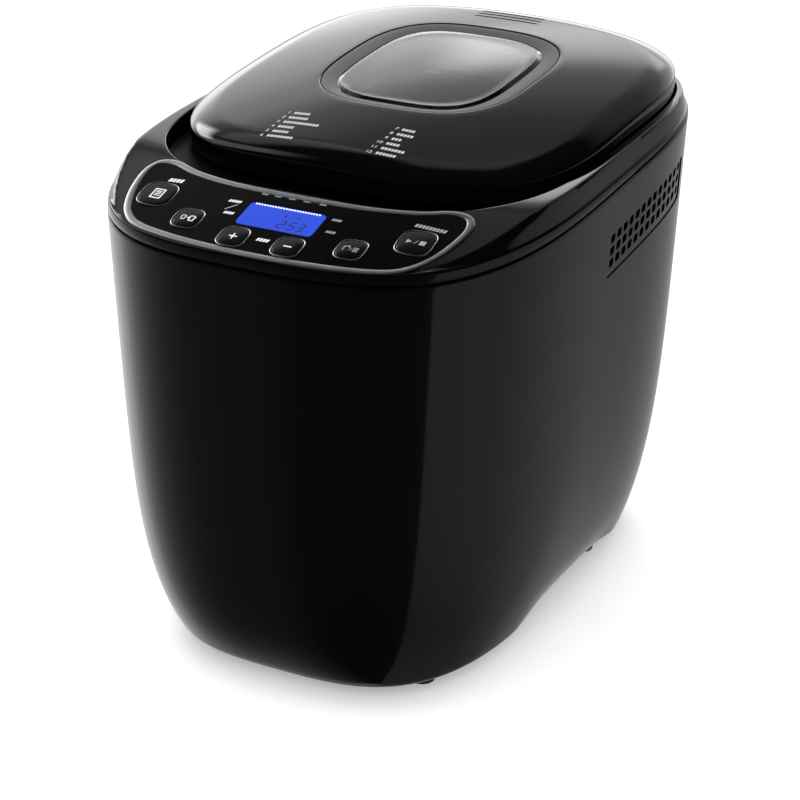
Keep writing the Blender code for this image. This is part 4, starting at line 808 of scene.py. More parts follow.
# %% Panel plate, trim and the openings
KEYS = {
    "button_menu": (-0.07995, -0.1318, 0.0192),
    "button_crust": (-0.050225, -0.1482, 0.0152),
    "button_time_up": (-0.0167075, -0.1565, 0.0152),
    "button_time_down": (0.0167075, -0.1565, 0.0152),
    "button_loaf_size": (0.050225, -0.1482, 0.0152),
    "button_start": (0.07995, -0.1318, 0.0192),
}
KEY_GAP = 0.0004
KEY_SQUARENESS = 3.4
PANEL_SEAT = 0.0014
TRIM_WIDTH = 0.0042
DISPLAY_Y = -0.1350
DISPLAY_HALF = (0.0235, 0.0103)
DISPLAY_SQUARENESS = 14.0


def key_cutters(grow):
    return [
        cutter(f"{name}_well", [frame_ring(x, y, size + 2 * grow, offset) for offset in (-0.02, 0.02)])
        for name, (x, y, size) in KEYS.items()
    ]


def deck_cutters():
    made = [panel_cutter("pocket", panel_outline(-0.0003), -PANEL_SEAT - 0.0003, 0.010)]
    bm = bmesh.new()
    bmesh.ops.create_cube(bm, size=1.0)
    bmesh.ops.scale(bm, vec=(0.0794, 0.0312, 0.06), verts=bm.verts)
    bmesh.ops.translate(bm, vec=(0, 0.1794 + MIDDLE_Y, 0.3202), verts=bm.verts)
    made.append(solid_from(bm, "hinge_notch"))
    return made + [display_cutter("display_well", 0.003)] + key_cutters(KEY_GAP)


cut_away(deck, deck_cutters())
deck.data.materials.append(SHADED)
WELL = [Vector((p.x, p.y + MIDDLE_Y)) for p in crest_outline(0.0007)]


def in_well(x, y):
    """True inside the crest, where the deck takes the painted shade of the well. It counts the edges to the
    right.
    """
    inside = False
    for i, here in enumerate(WELL):
        there = WELL[i - 1]
        if (here.y > y) != (there.y > y):
            if x < here.x + (there.x - here.x) * (y - here.y) / (there.y - here.y):
                inside = not inside
    return inside


# Faces inside the crest take the well finish, whose low specular level is painted shade under the lid.
for face in deck.data.polygons:
    if in_well(face.center.x, face.center.y):
        face.material_index = len(deck.data.materials) - 1
plate = panel_cutter("panel_plate", panel_outline(TRIM_WIDTH + 0.0003), -PANEL_SEAT, 0.0003)
cut_away(plate, [display_cutter("display_hole", 0.0003)] + key_cutters(KEY_GAP))
adopt(plate, "casing", ["panel_overlay"], PANEL_FACE)
TRIM_SECTION = (
    (0.0, -PANEL_SEAT), (0.0, 0.0001), (0.0002, 0.0004),
    (0.0007, 0.0007), (0.0016, 0.0008), (0.0026, 0.0008),
    (0.0035, 0.0007), (0.0040, 0.0005), (TRIM_WIDTH, 0.0002),
    (TRIM_WIDTH, -PANEL_SEAT),
)
trim_rings = [laid(panel_outline(into), panel_z, offset) for into, offset in TRIM_SECTION]
loft("silver_trim", trim_rings, "casing", ["panel_trim"], SILVER, closed=True)
print("panel faces", len(plate.data.polygons))


# %% [markdown]
# Six keys stand in the panel. A key is a stem and a cap: the cap has a small edge radius and a
# slightly crowned top, so a light gives it a soft highlight. A thin bright ring is pressed into the
# panel round each key and stays there when the key goes down.

# %% Keys and their rings
KEY_PROUD = 0.0011
KEY_ROUND = 0.0007
KEY_CROWN = 0.00016
CAP_BOTTOM = -0.0042
STEM_BOTTOM = -0.0082
STEM = 0.006


def key_face(u, v, size):
    """Height of a key's crowned top over its place in the panel."""
    away = (abs(u) ** KEY_SQUARENESS + abs(v) ** KEY_SQUARENESS) ** (1 / KEY_SQUARENESS)
    away = min(away / (size / 2), 1.0)
    return KEY_PROUD + KEY_CROWN * (1 - away * away)


def key_cap(name, x, y, size):
    rings = [frame_ring(x, y, STEM, STEM_BOTTOM), frame_ring(x, y, STEM, CAP_BOTTOM)]
    rings += [frame_ring(x, y, size - 0.0006, CAP_BOTTOM), frame_ring(x, y, size, CAP_BOTTOM + 0.0003)]
    for step in range(7):
        turn = math.radians(15 * step)
        narrow = 2 * KEY_ROUND * (1 - math.cos(turn))
        rings.append(frame_ring(x, y, size - narrow, KEY_PROUD - KEY_ROUND * (1 - math.sin(turn))))
    top = size - 2 * KEY_ROUND
    for share in (0.9, 0.75, 0.55, 0.35, 0.15, 0.04):
        rings.append(frame_ring(x, y, top * share, key_face(top * share / 2, 0, top)))
    return loft(name.replace("button", "key"), rings, name, [name], KEY_GLOSS)


def key_ring(name, x, y, size):
    inner = size + 2 * KEY_GAP + 0.0001
    section = ((0.0, -0.0010), (0.0, 0.0008), (0.0002, 0.0010), (0.0006, 0.0011), (0.0010, 0.0010))
    section += ((0.0012, 0.0007), (0.0012, 0.0002), (0.0008, -0.0010))
    rings = [frame_ring(x, y, inner + wide, offset) for wide, offset in section]
    return loft(name.replace("button", "ring"), rings, "casing", (), CHROME, closed=True)


for name, (x, y, size) in KEYS.items():
    key_cap(name, x, y, size)
    key_ring(name, x, y, size)
print("keys", len(KEYS))


# %% [markdown]
# Printed marks are thin raised films. Each mark is a flat shape, extruded by a few hundredths of a
# millimetre and laid on the surface it belongs to, so it follows the crown of a key or the dome of
# the lid. Words on the machine are replaced by rows of plain blocks. Only numbers stay.

# %% Shapes for marks
FILM = 0.00006


def bar(left, low, right, high):
    return [(left, low), (right, low), (right, high), (left, high)]


def line(start, end, width):
    """A straight stroke."""
    along = Vector((end[0] - start[0], end[1] - start[1])).normalized() * width / 2
    side = Vector((-along.y, along.x))
    ends = [Vector(start) - along * 0.6, Vector(end) + along * 0.6]
    return [tuple(ends[0] - side), tuple(ends[1] - side), tuple(ends[1] + side), tuple(ends[0] + side)]


def path(points, width, closed=False):
    pairs = list(zip(points, points[1:]))
    if closed:
        pairs.append((points[-1], points[0]))
    return [line(start, end, width) for start, end in pairs]


def marks(name, shapes, place, body, material):
    """One piece made of many flat shapes. place(u, v, lift) puts a point on its surface."""
    bm = bmesh.new()
    for shape in shapes:
        face = bm.faces.new([bm.verts.new((u, v, 0)) for u, v in shape])
        wall = bmesh.ops.extrude_face_region(bm, geom=[face])
        top = [item for item in wall["geom"] if isinstance(item, bmesh.types.BMVert)]
        bmesh.ops.translate(bm, vec=(0, 0, FILM), verts=top)
    bmesh.ops.recalc_face_normals(bm, faces=bm.faces)
    for vert in bm.verts:
        vert.co = place(*vert.co)
    return keep(name, bm, body, (), material)


BLOCK_WIDTH = 0.55
BLOCK_STEP = BLOCK_WIDTH * 1.45
WORD_SLANT = 0.25


def blocks(u, v, count, height, slant=0.0):
    """A row of plain blocks, centred on a point, that stands for a printed word."""
    wide, step, lean = height * BLOCK_WIDTH, height * BLOCK_STEP, height * slant
    low, high = v - height / 2, v + height / 2
    shapes = []
    for i in range(count):
        left = u + (i - (count - 1) / 2) * step - wide / 2
        shapes.append([(left, low), (left + wide, low), (left + wide + lean, high), (left + lean, high)])
    return shapes


# %% Symbols on the keys
def sheet_symbol():
    outline = path(bar(-0.0030, -0.0040, 0.0030, 0.0040), 0.0008, True)
    return outline + [bar(-0.0018, v, 0.0018, v + 0.0006) for v in (-0.0020, -0.0006, 0.0008, 0.0020)]


def loaf_outline(u, size):
    """A slice of bread: a square foot under a round top."""
    half, low, high = 0.30 * size, -0.5 * size, 0.05 * size
    points = [(u - half, low), (u + half, low), (u + half, high)]
    for step in range(7):
        turn = math.radians(-20 + 220 * step / 6)
        points.append((u + 0.42 * size * math.cos(turn), 0.24 * size + 0.26 * size * math.sin(turn)))
    return points + [(u - half, high)]


def crust_symbol():
    shapes = path(loaf_outline(-0.0027, 0.0034), 0.00045, True)
    shapes += path(loaf_outline(0.0026, 0.0042), 0.0006, True)
    shapes.append([(-0.0006, -0.0003), (0.0004, -0.0003), (0.0004, 0.0003), (-0.0006, 0.0003)])
    shapes.append([(0.0002, -0.0008), (0.0010, 0.0), (0.0002, 0.0008)])
    return shapes


def loaf_symbol():
    shapes = path([(-0.0044, -0.0016), (-0.0044, 0.0016), (-0.0016, 0.0022), (-0.0012, 0.0010)], 0.0006)
    shapes += [bar(0.0012, v, 0.0042, v + 0.0005) for v in (-0.0018, -0.0008, 0.0002, 0.0012)]
    shapes += path([(-0.0008, -0.0010), (0.0004, 0.0006)], 0.0004)
    return shapes


SYMBOLS = {
    "button_menu": sheet_symbol(),
    "button_crust": crust_symbol(),
    "button_time_up": [
        bar(-0.0024, -0.0004, 0.0024, 0.0004),
        bar(-0.0004, 0.0004, 0.0004, 0.0024),
        bar(-0.0004, -0.0024, 0.0004, -0.0004),
    ],
    "button_time_down": [bar(-0.0024, -0.0004, 0.0024, 0.0004)],
    "button_loaf_size": loaf_symbol(),
    "button_start": [
        [(-0.0056, -0.0017), (-0.0024, 0.0), (-0.0056, 0.0017)],
        bar(0.0022, -0.0017, 0.0056, 0.0017),
        *path([(-0.0008, -0.0014), (0.0006, 0.0014)], 0.0004),
    ],
}
BRIGHT = ("button_menu", "button_crust", "button_time_up", "button_time_down")
for name, shapes in SYMBOLS.items():
    x, y, size = KEYS[name]

    def on_key(u, v, lift, frame_here=panel_frame(x, y), flat=size - 2 * KEY_ROUND):
        return frame_here @ Vector((u, v, key_face(u, v, flat) + lift))

    marks(name.replace("button", "symbol"), shapes, on_key, name, PRINT if name in BRIGHT else PRINT_DIM)
print("symbols", ", ".join(SYMBOLS))


# %% [markdown]
# The display is a blue backlit window with dark digits. The digits have seven strokes each, the way
# a liquid crystal shows them. The glass in front is thin and flat.

# %% Display
SEGMENTS = {
    "2": "abged",
    "5": "afgcd",
    "3": "abgcd",
}
DIGIT_HEIGHT = 0.0062
DIGIT_LOW = -0.0075


def digit(value, u):
    """The lit strokes of one digit, with its lower left corner at u."""
    wide, tall, pen, lean = DIGIT_HEIGHT * 0.55, DIGIT_HEIGHT, DIGIT_HEIGHT * 0.11, 0.12
    corner = Vector((u, DIGIT_LOW))
    ends = {
        "a": ((0, tall), (wide, tall)),
        "b": ((wide, tall), (wide, tall / 2)),
        "c": ((wide, tall / 2), (wide, 0)),
        "d": ((wide, 0), (0, 0)),
        "e": ((0, 0), (0, tall / 2)),
        "f": ((0, tall / 2), (0, tall)),
        "g": ((0, tall / 2), (wide, tall / 2)),
    }
    shapes = []
    for name in SEGMENTS[value]:
        (u0, v0), (u1, v1) = ends[name]
        start, end = Vector((u0 + lean * v0, v0)), Vector((u1 + lean * v1, v1))
        short = (end - start).normalized() * pen * 0.6
        shapes.append(line(tuple(start + short + corner), tuple(end - short + corner), pen))
    return shapes


def display():
    place = panel_frame(0, DISPLAY_Y)
    steps = ((0.0, -0.0016), (0.0, -0.0001), (-0.0002, 0.0001), (-0.008, 0.0001))
    rings = [display_ring(grow, lift) for grow, lift in steps]
    loft("display", rings, "casing", ["display_lens"], BACKLIGHT)

    def on_display(u, v, lift):
        return place @ Vector((u, v, 0.0001 + lift))

    dark = digit("2", 0.0005) + digit("5", 0.0070) + digit("3", 0.0125)
    dark += [bar(0.0052, v, 0.0059, v + 0.0007) for v in (-0.0060, -0.0035)]
    dark += [[(u - 0.0010, 0.0022), (u + 0.0010, 0.0022), (u, 0.0038)] for u in (0.0016, 0.0094)]
    dark += [bar(-0.0066, v, -0.0060, v + 0.0006) for v in (-0.0052, -0.0030)]
    marks("display_digits", dark, on_display, "casing", DIGITS)
    ticks = [bar(-0.0205 + 0.0017 * i, 0.0085, -0.0196 + 0.0017 * i, 0.0097) for i in range(24)]
    marks("display_ticks", ticks, on_display, "casing", TICKS)


display()


# %% Printed words, as plain blocks
def on_panel(u, v, lift):
    return Vector((u, v, panel_z(u, v) + 0.0003 + lift))


def word_rows(*rows):
    """Slanted blocks for rows of (place across, place in depth, blocks, height)."""
    return [shape for row in rows for shape in blocks(*row, WORD_SLANT)]


words = word_rows((-0.0772, -0.1178, 4, 0.0030))
words += word_rows((-0.0331, -0.1276, 5, 0.0020), (-0.0311, -0.1378, 4, 0.0020))
words += path([(-0.0300, -0.1300), (-0.0350, -0.1352)], 0.00025) + word_rows((0.0, -0.1545, 4, 0.0024))
marks("panel_words_bright", words, on_panel, "casing", PRINT)
dim = word_rows((0.0300, -0.1277, 4, 0.0018), (0.0319, -0.1379, 4, 0.0018))
dim += word_rows(*((u, -0.1176, 4, 0.0013) for u in (-0.0200, -0.0118, -0.0030, 0.0062, 0.0160)))
marks("panel_words_dim", dim + word_rows((0.0810, -0.1179, 9, 0.0026)), on_panel, "casing", PRINT_DIM)
print("display and words made")


# %% [markdown]
# The lid is one domed moulding with a hole for the window. Its edge rolls over in a quarter of a
# superellipse, so the light line along it is thin but not hard, and a short skirt drops into the
# recess. Three slots near the hinge let the steam out.

# %% Lid surfaces
LID_HALF_WIDTH = 0.1250
LID_FRONT = -0.0897
LID_BACK = 0.1658
LID_EDGE_DROP = 0.0052
LID_EDGE_WIDTH = 0.016
LID_WALL = 0.0028
SKIRT_BOTTOM = 0.282
LID_HEIGHT = 0.3117
LID_SLOPE = 0.1028
LID_CURVE_Y = 0.00856 / LID_BACK**2
LID_CURVE_X = 0.0104 / LID_HALF_WIDTH**2


def lid_z(x, y):
    return LID_HEIGHT + LID_SLOPE * y - LID_CURVE_Y * y * y - LID_CURVE_X * x * x


def centred(half_width, front, back, squares, grow):
    plan = superellipse(half_width, (front + back) / 2, (back - front) / 2, (back - front) / 2, *squares)
    return inset(plan, -grow) if grow else plan


def lid_outline(grow=0.0):
    return centred(LID_HALF_WIDTH, LID_FRONT, LID_BACK, (3.1, 4.1), grow)


def window_outline(grow=0.0):
    return centred(0.0619, -0.0205, 0.1184, (2.8, 3.3), grow)


def glass_outline(grow=0.0):
    return centred(0.0513, -0.0122, 0.1096, (3.1, 3.6), grow)


def on_lid(plan, offset=0.0):
    return laid(plan, lid_z, offset)


def between(first, second, share):
    return [a.lerp(b, share) for a, b in zip(first, second)]


# %% Lid
def lid_rings():
    hole, shoulder = window_outline(), lid_outline(-LID_EDGE_WIDTH)
    rings = [on_lid(hole, -0.0010)]
    rings += [on_lid(window_outline(grow), drop) for grow, drop in ((0.0002, -0.0003), (0.0006, -0.00003))]
    start = window_outline(0.0010)
    rings += [on_lid(between(start, shoulder, step / 12)) for step in range(13)]
    rolls = [0.08 * step for step in range(1, 9)] + [0.71, 0.78, 0.84, 0.89, 0.93, 0.96, 0.98, 0.993, 1.0]
    for roll in rolls:
        drop = LID_EDGE_DROP * (1 - (1 - roll**1.5) ** (1 / 1.8))
        rings.append(on_lid(lid_outline(-LID_EDGE_WIDTH * (1 - roll)), -drop))
    top = on_lid(lid_outline(), -LID_EDGE_DROP)
    foot = raised(lid_outline(-0.0003), SKIRT_BOTTOM + 0.0004)
    rings += [between(top, foot, share) for share in (0.08, 0.3, 0.6, 0.9)]
    skirt = ((-0.0005, 0.0001), (-0.0009, 0.0), (-LID_WALL + 0.0004, 0.0), (-LID_WALL, 0.0004))
    rings += [raised(lid_outline(grow), SKIRT_BOTTOM + lift) for grow, lift in skirt]
    under = -LID_EDGE_DROP - LID_WALL
    rings.append(on_lid(lid_outline(-LID_WALL - 0.0004), under - 0.0012))
    rings.append(on_lid(lid_outline(-LID_WALL - 0.0030), under + 0.0020))
    rings.append(on_lid(shoulder, -LID_WALL - 0.0010))
    rings.append(on_lid(between(window_outline(0.004), shoulder, 0.5), -LID_WALL))
    rings.append(on_lid(window_outline(0.004), -LID_WALL))
    return rings + [on_lid(hole, -LID_WALL)]


def steam_slot(index):
    y = 0.1385 + 0.0052 * index
    plan = oblong(0.022, 0.0009, 9.0, y, 40)
    return cutter(f"steam_slot_{index}", [raised(plan, lid_z(0, y) + lift) for lift in (-0.02, 0.02)])


lid = loft("lid_shell", lid_rings(), "lid", ["lid_cover"], GLOSS, closed=True)
cut_away(lid, [steam_slot(index) for index in range(3)])
print("lid faces", len(lid.data.polygons))


# %% [markdown]
# The window is a stepped pane of clear glass in a matt dish-shaped bezel. A second pane sits lower,
# in the metal panel that faces the oven, and a silicone seal runs round the oven's mouth. The panes
# are closed solids, because light bends correctly only through a solid with two faces.

# %% Window and the inside of the lid
BEZEL_DEPTH = 0.0022
GLASS_THICKNESS = 0.003
INNER_PANEL = 0.2868
INNER_PANEL_THICKNESS = 0.0012
INNER_HOLE = -0.002
SMALL_GAP = 0.0003


def bezel_rings():
    outer = window_outline(-SMALL_GAP)
    seat = -BEZEL_DEPTH - GLASS_THICKNESS
    rings = [on_lid(outer, -0.0034), on_lid(outer, -0.0009), on_lid(window_outline(-0.0006), -0.0004)]
    top, foot = window_outline(-0.0010), glass_outline(0.0004)
    for step in range(7):
        share = step / 6
        dish = -0.0003 - (BEZEL_DEPTH - 0.0005) * (0.35 * share + 0.65 * share * share)
        rings.append(on_lid(between(top, foot, share), dish))
    rings.append(on_lid(glass_outline(), -BEZEL_DEPTH + 0.0001))
    rings.append(on_lid(glass_outline(), seat))
    rings.append(on_lid(window_outline(-0.004), seat))
    return rings


def pane(name, size, low, high, node, put):
    """A closed pane with a small bevel, and rings towards its middle so that it can be domed."""

    def outline(grow):
        return glass_outline(size + grow)

    first = outline(0.0)
    middle = sum(first, Vector((0, 0))) / len(first)
    centre = [middle] * len(first)
    rings = []
    for share in (0.04, 0.3, 0.6, 0.9):
        rings.append(put(between(centre, outline(-0.0006), share), low))
    rings.append(put(outline(-0.0003), low))
    rings.append(put(outline(0.0), low + 0.0003))
    for height, narrow in high:
        rings.append(put(outline(-narrow), height))
    for share in (0.9, 0.75, 0.6, 0.45, 0.3, 0.15, 0.04):
        rings.append(put(between(centre, outline(-high[-1][1]), share), high[-1][0]))
    return loft(name, rings, "lid", [node], PANE)


loft("bezel", bezel_rings(), "lid", ["window_bezel"], GREY, closed=True)
top = -BEZEL_DEPTH
steps = [(top, 0.0), (top + 0.0002, 0.0003), (top + 0.0003, 0.0014), (top + 0.0008, 0.0022)]
steps.append((top + 0.0010, 0.0032))
pane("outer_glass", -SMALL_GAP, top - GLASS_THICKNESS, steps, "window_glass", on_lid)
steps = [(INNER_PANEL + 0.0027, 0.0), (INNER_PANEL + 0.0030, 0.0003)]
pane("inner_glass", INNER_HOLE - SMALL_GAP, INNER_PANEL, steps, "window_inner_glass", raised)


def inner_panel_rings():
    """Over the top from the outside to the hole, and back underneath with a shallow groove."""
    thick = INNER_PANEL_THICKNESS

    def outer(narrow, height):
        return raised(lid_outline(-LID_WALL - 0.0020 - narrow), INNER_PANEL + height)

    hole = ((0.0003, thick), (0.0, thick - 0.0003), (0.0, 0.0003), (0.0003, 0.0))
    hole += ((0.0060, 0.0), (0.0066, 0.0003), (0.0076, 0.0003), (0.0082, 0.0))
    rings = [outer(0.0, 0.0003), outer(0.0, thick - 0.0003), outer(0.0003, thick)]
    rings += [raised(glass_outline(INNER_HOLE + grow), INNER_PANEL + height) for grow, height in hole]
    return rings + [outer(0.0003, 0.0)]


loft("lid_panel", inner_panel_rings(), "lid", ["lid_inner_panel"], GALVANISED, closed=True)
SEAL_SECTION = (
    (0.0055, 0.2792), (0.0062, 0.2789), (0.0083, 0.2789), (0.0091, 0.2794),
    (0.0098, 0.2835), (0.0100, 0.2865), (0.0050, 0.2865), (0.0050, 0.2845),
)
seal_rings = [raised(oven_outline(grow), z) for grow, z in SEAL_SECTION]
loft("seal", seal_rings, "lid", ["lid_seal"], SILICONE, closed=True)
print("window and lid lining made")


# %% [markdown]
# The programme list is printed on the lid in front of the window: numbers one to twelve in two
# columns. Blender's text makes the numbers. It is turned into a mesh first, and then every point is
# laid on the dome.

# %% Programme list on the lid
def on_dome(u, v, lift):
    return Vector((u, v, lid_z(u, v) + lift))


def number_shapes(text, u, v, height):
    """Prints a number flat and gives it to the lid as a mesh."""
    curve = bpy.data.curves.new("number", "FONT")
    curve.body = text
    curve.size = height
    curve.align_x = "RIGHT"
    curve.extrude = FILM / 2
    guide = bpy.data.objects.new("number", curve)
    bpy.context.scene.collection.objects.link(guide)
    mesh = applied(guide)
    bpy.data.objects.remove(guide, do_unlink=True)
    bm = bmesh.new()
    bm.from_mesh(mesh)
    bpy.data.meshes.remove(mesh)
    for vert in bm.verts:
        vert.co = on_dome(u + vert.co.x, v + vert.co.y, vert.co.z + FILM / 2)
    return keep(f"number_{text}", bm, "lid", (), PRINT_LIST)


WORD_LENGTHS = (5, 6, 11, 5, 5, 8, 4, 5, 3, 4, 7, 6)
LIST_HEIGHT = 0.0026
LIST_STEP = LIST_HEIGHT * BLOCK_STEP
list_rows = []
for row in range(6):
    for column, u in enumerate((-0.0465, 0.0225)):
        index = row + 6 * column
        v = -0.0440 - 0.0061 * row
        number_shapes(str(index + 1), u, v - 0.0013, 0.0040)
        length = WORD_LENGTHS[index] * LIST_STEP
        list_rows += blocks(u + 0.0022 + length / 2, v, WORD_LENGTHS[index], LIST_HEIGHT)
marks("programme_rows", list_rows, on_dome, "lid", PRINT_LIST)
print("programme rows", len(WORD_LENGTHS))


# %% [markdown]
# Behind the casing the lid turns on two steel pins in a bracket. The barrel is a turned shape with
# rounded ends, laid along X, with a tongue that reaches back into the lid.

# %% Hinge, feet and cable bush
def turned(name, profile, place, body, stands_for, material, steps=64):
    """Spins a profile of (radius, height) and moves it by a matrix."""
    bm = bmesh.new()
    verts = [bm.verts.new((radius, 0, height)) for radius, height in profile]
    edges = [bm.edges.new(pair) for pair in zip(verts, verts[1:])]
    whole = {"cent": (0, 0, 0), "axis": (0, 0, 1), "angle": 2 * math.pi, "use_merge": True}
    bmesh.ops.spin(bm, geom=verts + edges, steps=steps, **whole)
    bmesh.ops.remove_doubles(bm, verts=bm.verts, dist=1e-6)
    bmesh.ops.recalc_face_normals(bm, faces=bm.faces)
    bmesh.ops.transform(bm, matrix=place, verts=bm.verts)
    return keep(name, bm, body, stands_for, material)


def rounded_rod(radius, low, high, edge):
    turns = [math.radians(22.5 * step) for step in range(5)]
    inner = radius - edge
    foot = [(inner + edge * math.sin(turn), low + edge - edge * math.cos(turn)) for turn in turns]
    head = [(inner + edge * math.cos(turn), high - edge + edge * math.sin(turn)) for turn in turns]
    return [(0, low)] + foot + head + [(0, high)]


def rounded_box(name, low, high, edge, body, stands_for, material):
    bm = bmesh.new()
    bmesh.ops.create_cube(bm, size=1.0)
    low, high = Vector(low), Vector(high)
    bmesh.ops.scale(bm, vec=high - low, verts=bm.verts)
    bmesh.ops.translate(bm, vec=(low + high) / 2, verts=bm.verts)
    rounding = {"offset": edge, "segments": 3, "profile": 0.5, "material": -1}
    bmesh.ops.bevel(bm, geom=bm.edges, affect="EDGES", **rounding)
    return keep(name, bm, body, stands_for, material)


HINGE_Y = 0.186
HINGE_Z = 0.296
BARREL = 0.009
HINGE_HALF = 0.0385
HINGE_ROUND = 0.0012
along_x = Matrix.Translation((0, HINGE_Y, HINGE_Z)) @ Matrix.Rotation(math.radians(90), 4, "Y")
barrel = rounded_rod(BARREL, -HINGE_HALF, HINGE_HALF, HINGE_ROUND)
turned("hinge_barrel", barrel, along_x, "lid", ["hinge_cover"], GLOSS)
tongue_low = (-HINGE_HALF + 0.0004, LID_BACK + 0.0003, HINGE_Z - 0.0042)
tongue_high = (HINGE_HALF - 0.0004, HINGE_Y, HINGE_Z + 0.0086)
rounded_box("hinge_tongue", tongue_low, tongue_high, HINGE_ROUND, "lid", (), GLOSS)
bracket_low = (-HINGE_HALF - 0.0051, HALF_DEPTH + 0.0006, HINGE_Z - 0.0190)
bracket_high = (HINGE_HALF + 0.0051, HALF_DEPTH + 0.0146, HINGE_Z - 0.0102)
rounded_box("hinge_foot", bracket_low, bracket_high, 0.0010, "casing", ["hinge_bracket"], MATT)
for side, word in ((-1, "left"), (1, "right")):
    reach = sorted((side * (HINGE_HALF + 0.0006), side * (HINGE_HALF + 0.0051)))
    ear_low = (reach[0], HALF_DEPTH + 0.0006, HINGE_Z - 0.0188)
    ear_high = (reach[1], HALF_DEPTH + 0.0176, HINGE_Z + 0.0050)
    rounded_box(f"hinge_ear_{word}", ear_low, ear_high, 0.0010, "casing", (), MATT)
for node in ("foot_front_left", "foot_front_right", "foot_back_left", "foot_back_right"):
    low, high = (Vector(corner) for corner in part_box(node))
    radius, height = (high.x - low.x) / 2, high.z
    profile = [(0, 0.0008), (radius - 0.0030, 0.0008), (radius - 0.0026, 0.0), (radius - 0.0015, 0.0)]
    profile += [(radius - 0.0006, 0.0004), (radius - 0.0003, 0.0012), (radius, height - 0.0004)]
    profile += [(radius - 0.0004, height), (0, height)]
    middle = Matrix.Translation(((low.x + high.x) / 2, (low.y + high.y) / 2 - MIDDLE_Y, 0))
    turned(node.replace("foot", "rubber_foot"), profile, middle, "casing", [node], RUBBER, 48)
print("hinge and feet made")


# %% [markdown]
# Under the lid is the oven: a pressed box of zinc-coated sheet with a heating tube round its foot,
# and in it the pan, a drawn aluminium box with a rolled rim and a dark non-stick film. These are
# lofts too, with enough rings at each bend for the bend to catch the light.

# %% Oven and pan
CHAMBER_FLOOR = 0.062
CHAMBER_TOP = RECESS_FLOOR - 0.0020
CHAMBER_WALL = 0.0012
PAN_BOTTOM = 0.088
PAN_TOP = 0.236
PAN_WALL = 0.0014
PAN_RIM = 0.005
PAN_HALF = (0.066, 0.086)
PAN_DRAFT = 0.05
PAN_SQUARENESS = 6.0
FORMED_POINTS = 120
OVEN_BEND = 0.006
BEND_STEPS = 6
BEAD_HIGH = 0.2520
BEAD_TALL = 0.0045
BEAD_DEEP = 0.0008


def pan_ring(z, grow):
    share = (1 - PAN_DRAFT) + PAN_DRAFT * (z - PAN_BOTTOM) / (PAN_TOP - PAN_BOTTOM)
    halves = (half * share + grow for half in PAN_HALF)
    return raised(oblong(*halves, PAN_SQUARENESS, OVEN_Y, FORMED_POINTS), z)


def oven_ring(grow, z):
    return raised(oven_outline(grow, FORMED_POINTS), z)


def oven_bend(wall, start, end):
    """Rings round the bend at the oven's foot, from one angle to another."""
    rings = []
    for step in range(BEND_STEPS + 1):
        turn = math.radians(start + (end - start) * step / BEND_STEPS)
        across, climb = OVEN_BEND * math.cos(turn), OVEN_BEND * math.sin(turn)
        rings.append(oven_ring(-OVEN_BEND - wall + across, CHAMBER_FLOOR + wall + OVEN_BEND + climb))
    return rings


def chamber_rings():
    """Up the outside, over the edge, and down the inside past a shallow pressed bead."""
    rings = [oven_ring(-0.030, CHAMBER_FLOOR)] + oven_bend(0.0, -90, 0)
    sides = [(0.0, 0.12), (0.0, 0.20), (0.0, CHAMBER_TOP - 0.0002), (-0.0002, CHAMBER_TOP)]
    sides += [(-CHAMBER_WALL + 0.0002, CHAMBER_TOP), (-CHAMBER_WALL, CHAMBER_TOP - 0.0002)]
    for step in range(4):
        z = BEAD_HIGH - 0.0015 * step
        sides.append((-CHAMBER_WALL - BEAD_DEEP * math.sin(math.pi * (BEAD_HIGH - z) / BEAD_TALL), z))
    sides += [(-CHAMBER_WALL, 0.20), (-CHAMBER_WALL, 0.12)]
    rings += [oven_ring(grow, z) for grow, z in sides]
    return rings + oven_bend(CHAMBER_WALL, 0, -90) + [oven_ring(-0.030, CHAMBER_FLOOR + CHAMBER_WALL)]


def front_hole(name, x, z, radius):
    """A hole through the oven's front wall."""
    turns = [math.radians(15 * step) for step in range(24)]
    circle = [(x + radius * math.cos(turn), z + radius * math.sin(turn)) for turn in turns]
    walls = (OVEN_Y - OVEN_HALF_DEPTH - 0.010, OVEN_Y - OVEN_HALF_DEPTH + 0.010)
    return cutter(name, [[Vector((across, y, up)) for across, up in circle] for y in walls])


def shaft_hole(name, radius, low, high):
    plan = oblong(radius, radius, 2.0, OVEN_Y, 32)
    return cutter(name, [raised(plan, low), raised(plan, high)])


chamber = loft("oven_box", chamber_rings(), "casing", ["oven_chamber"], GALVANISED)
holes = [front_hole("hole_a", -0.022, 0.080, 0.0039), front_hole("hole_b", 0.022, 0.080, 0.0039)]
holes += [front_hole("hole_c", 0.050, 0.120, 0.0037), shaft_hole("hole_d", 0.007, 0.05, 0.075)]
cut_away(chamber, holes, solver="MANIFOLD")


def pan_bend(z, grow, radius, start, end, steps):
    """Rings round a bend whose centre is at a height and a growth of the pan's outline."""
    rings = []
    for step in range(steps + 1):
        turn = math.radians(start + (end - start) * step / steps)
        rings.append(pan_ring(z + radius * math.sin(turn), grow + radius * math.cos(turn)))
    return rings


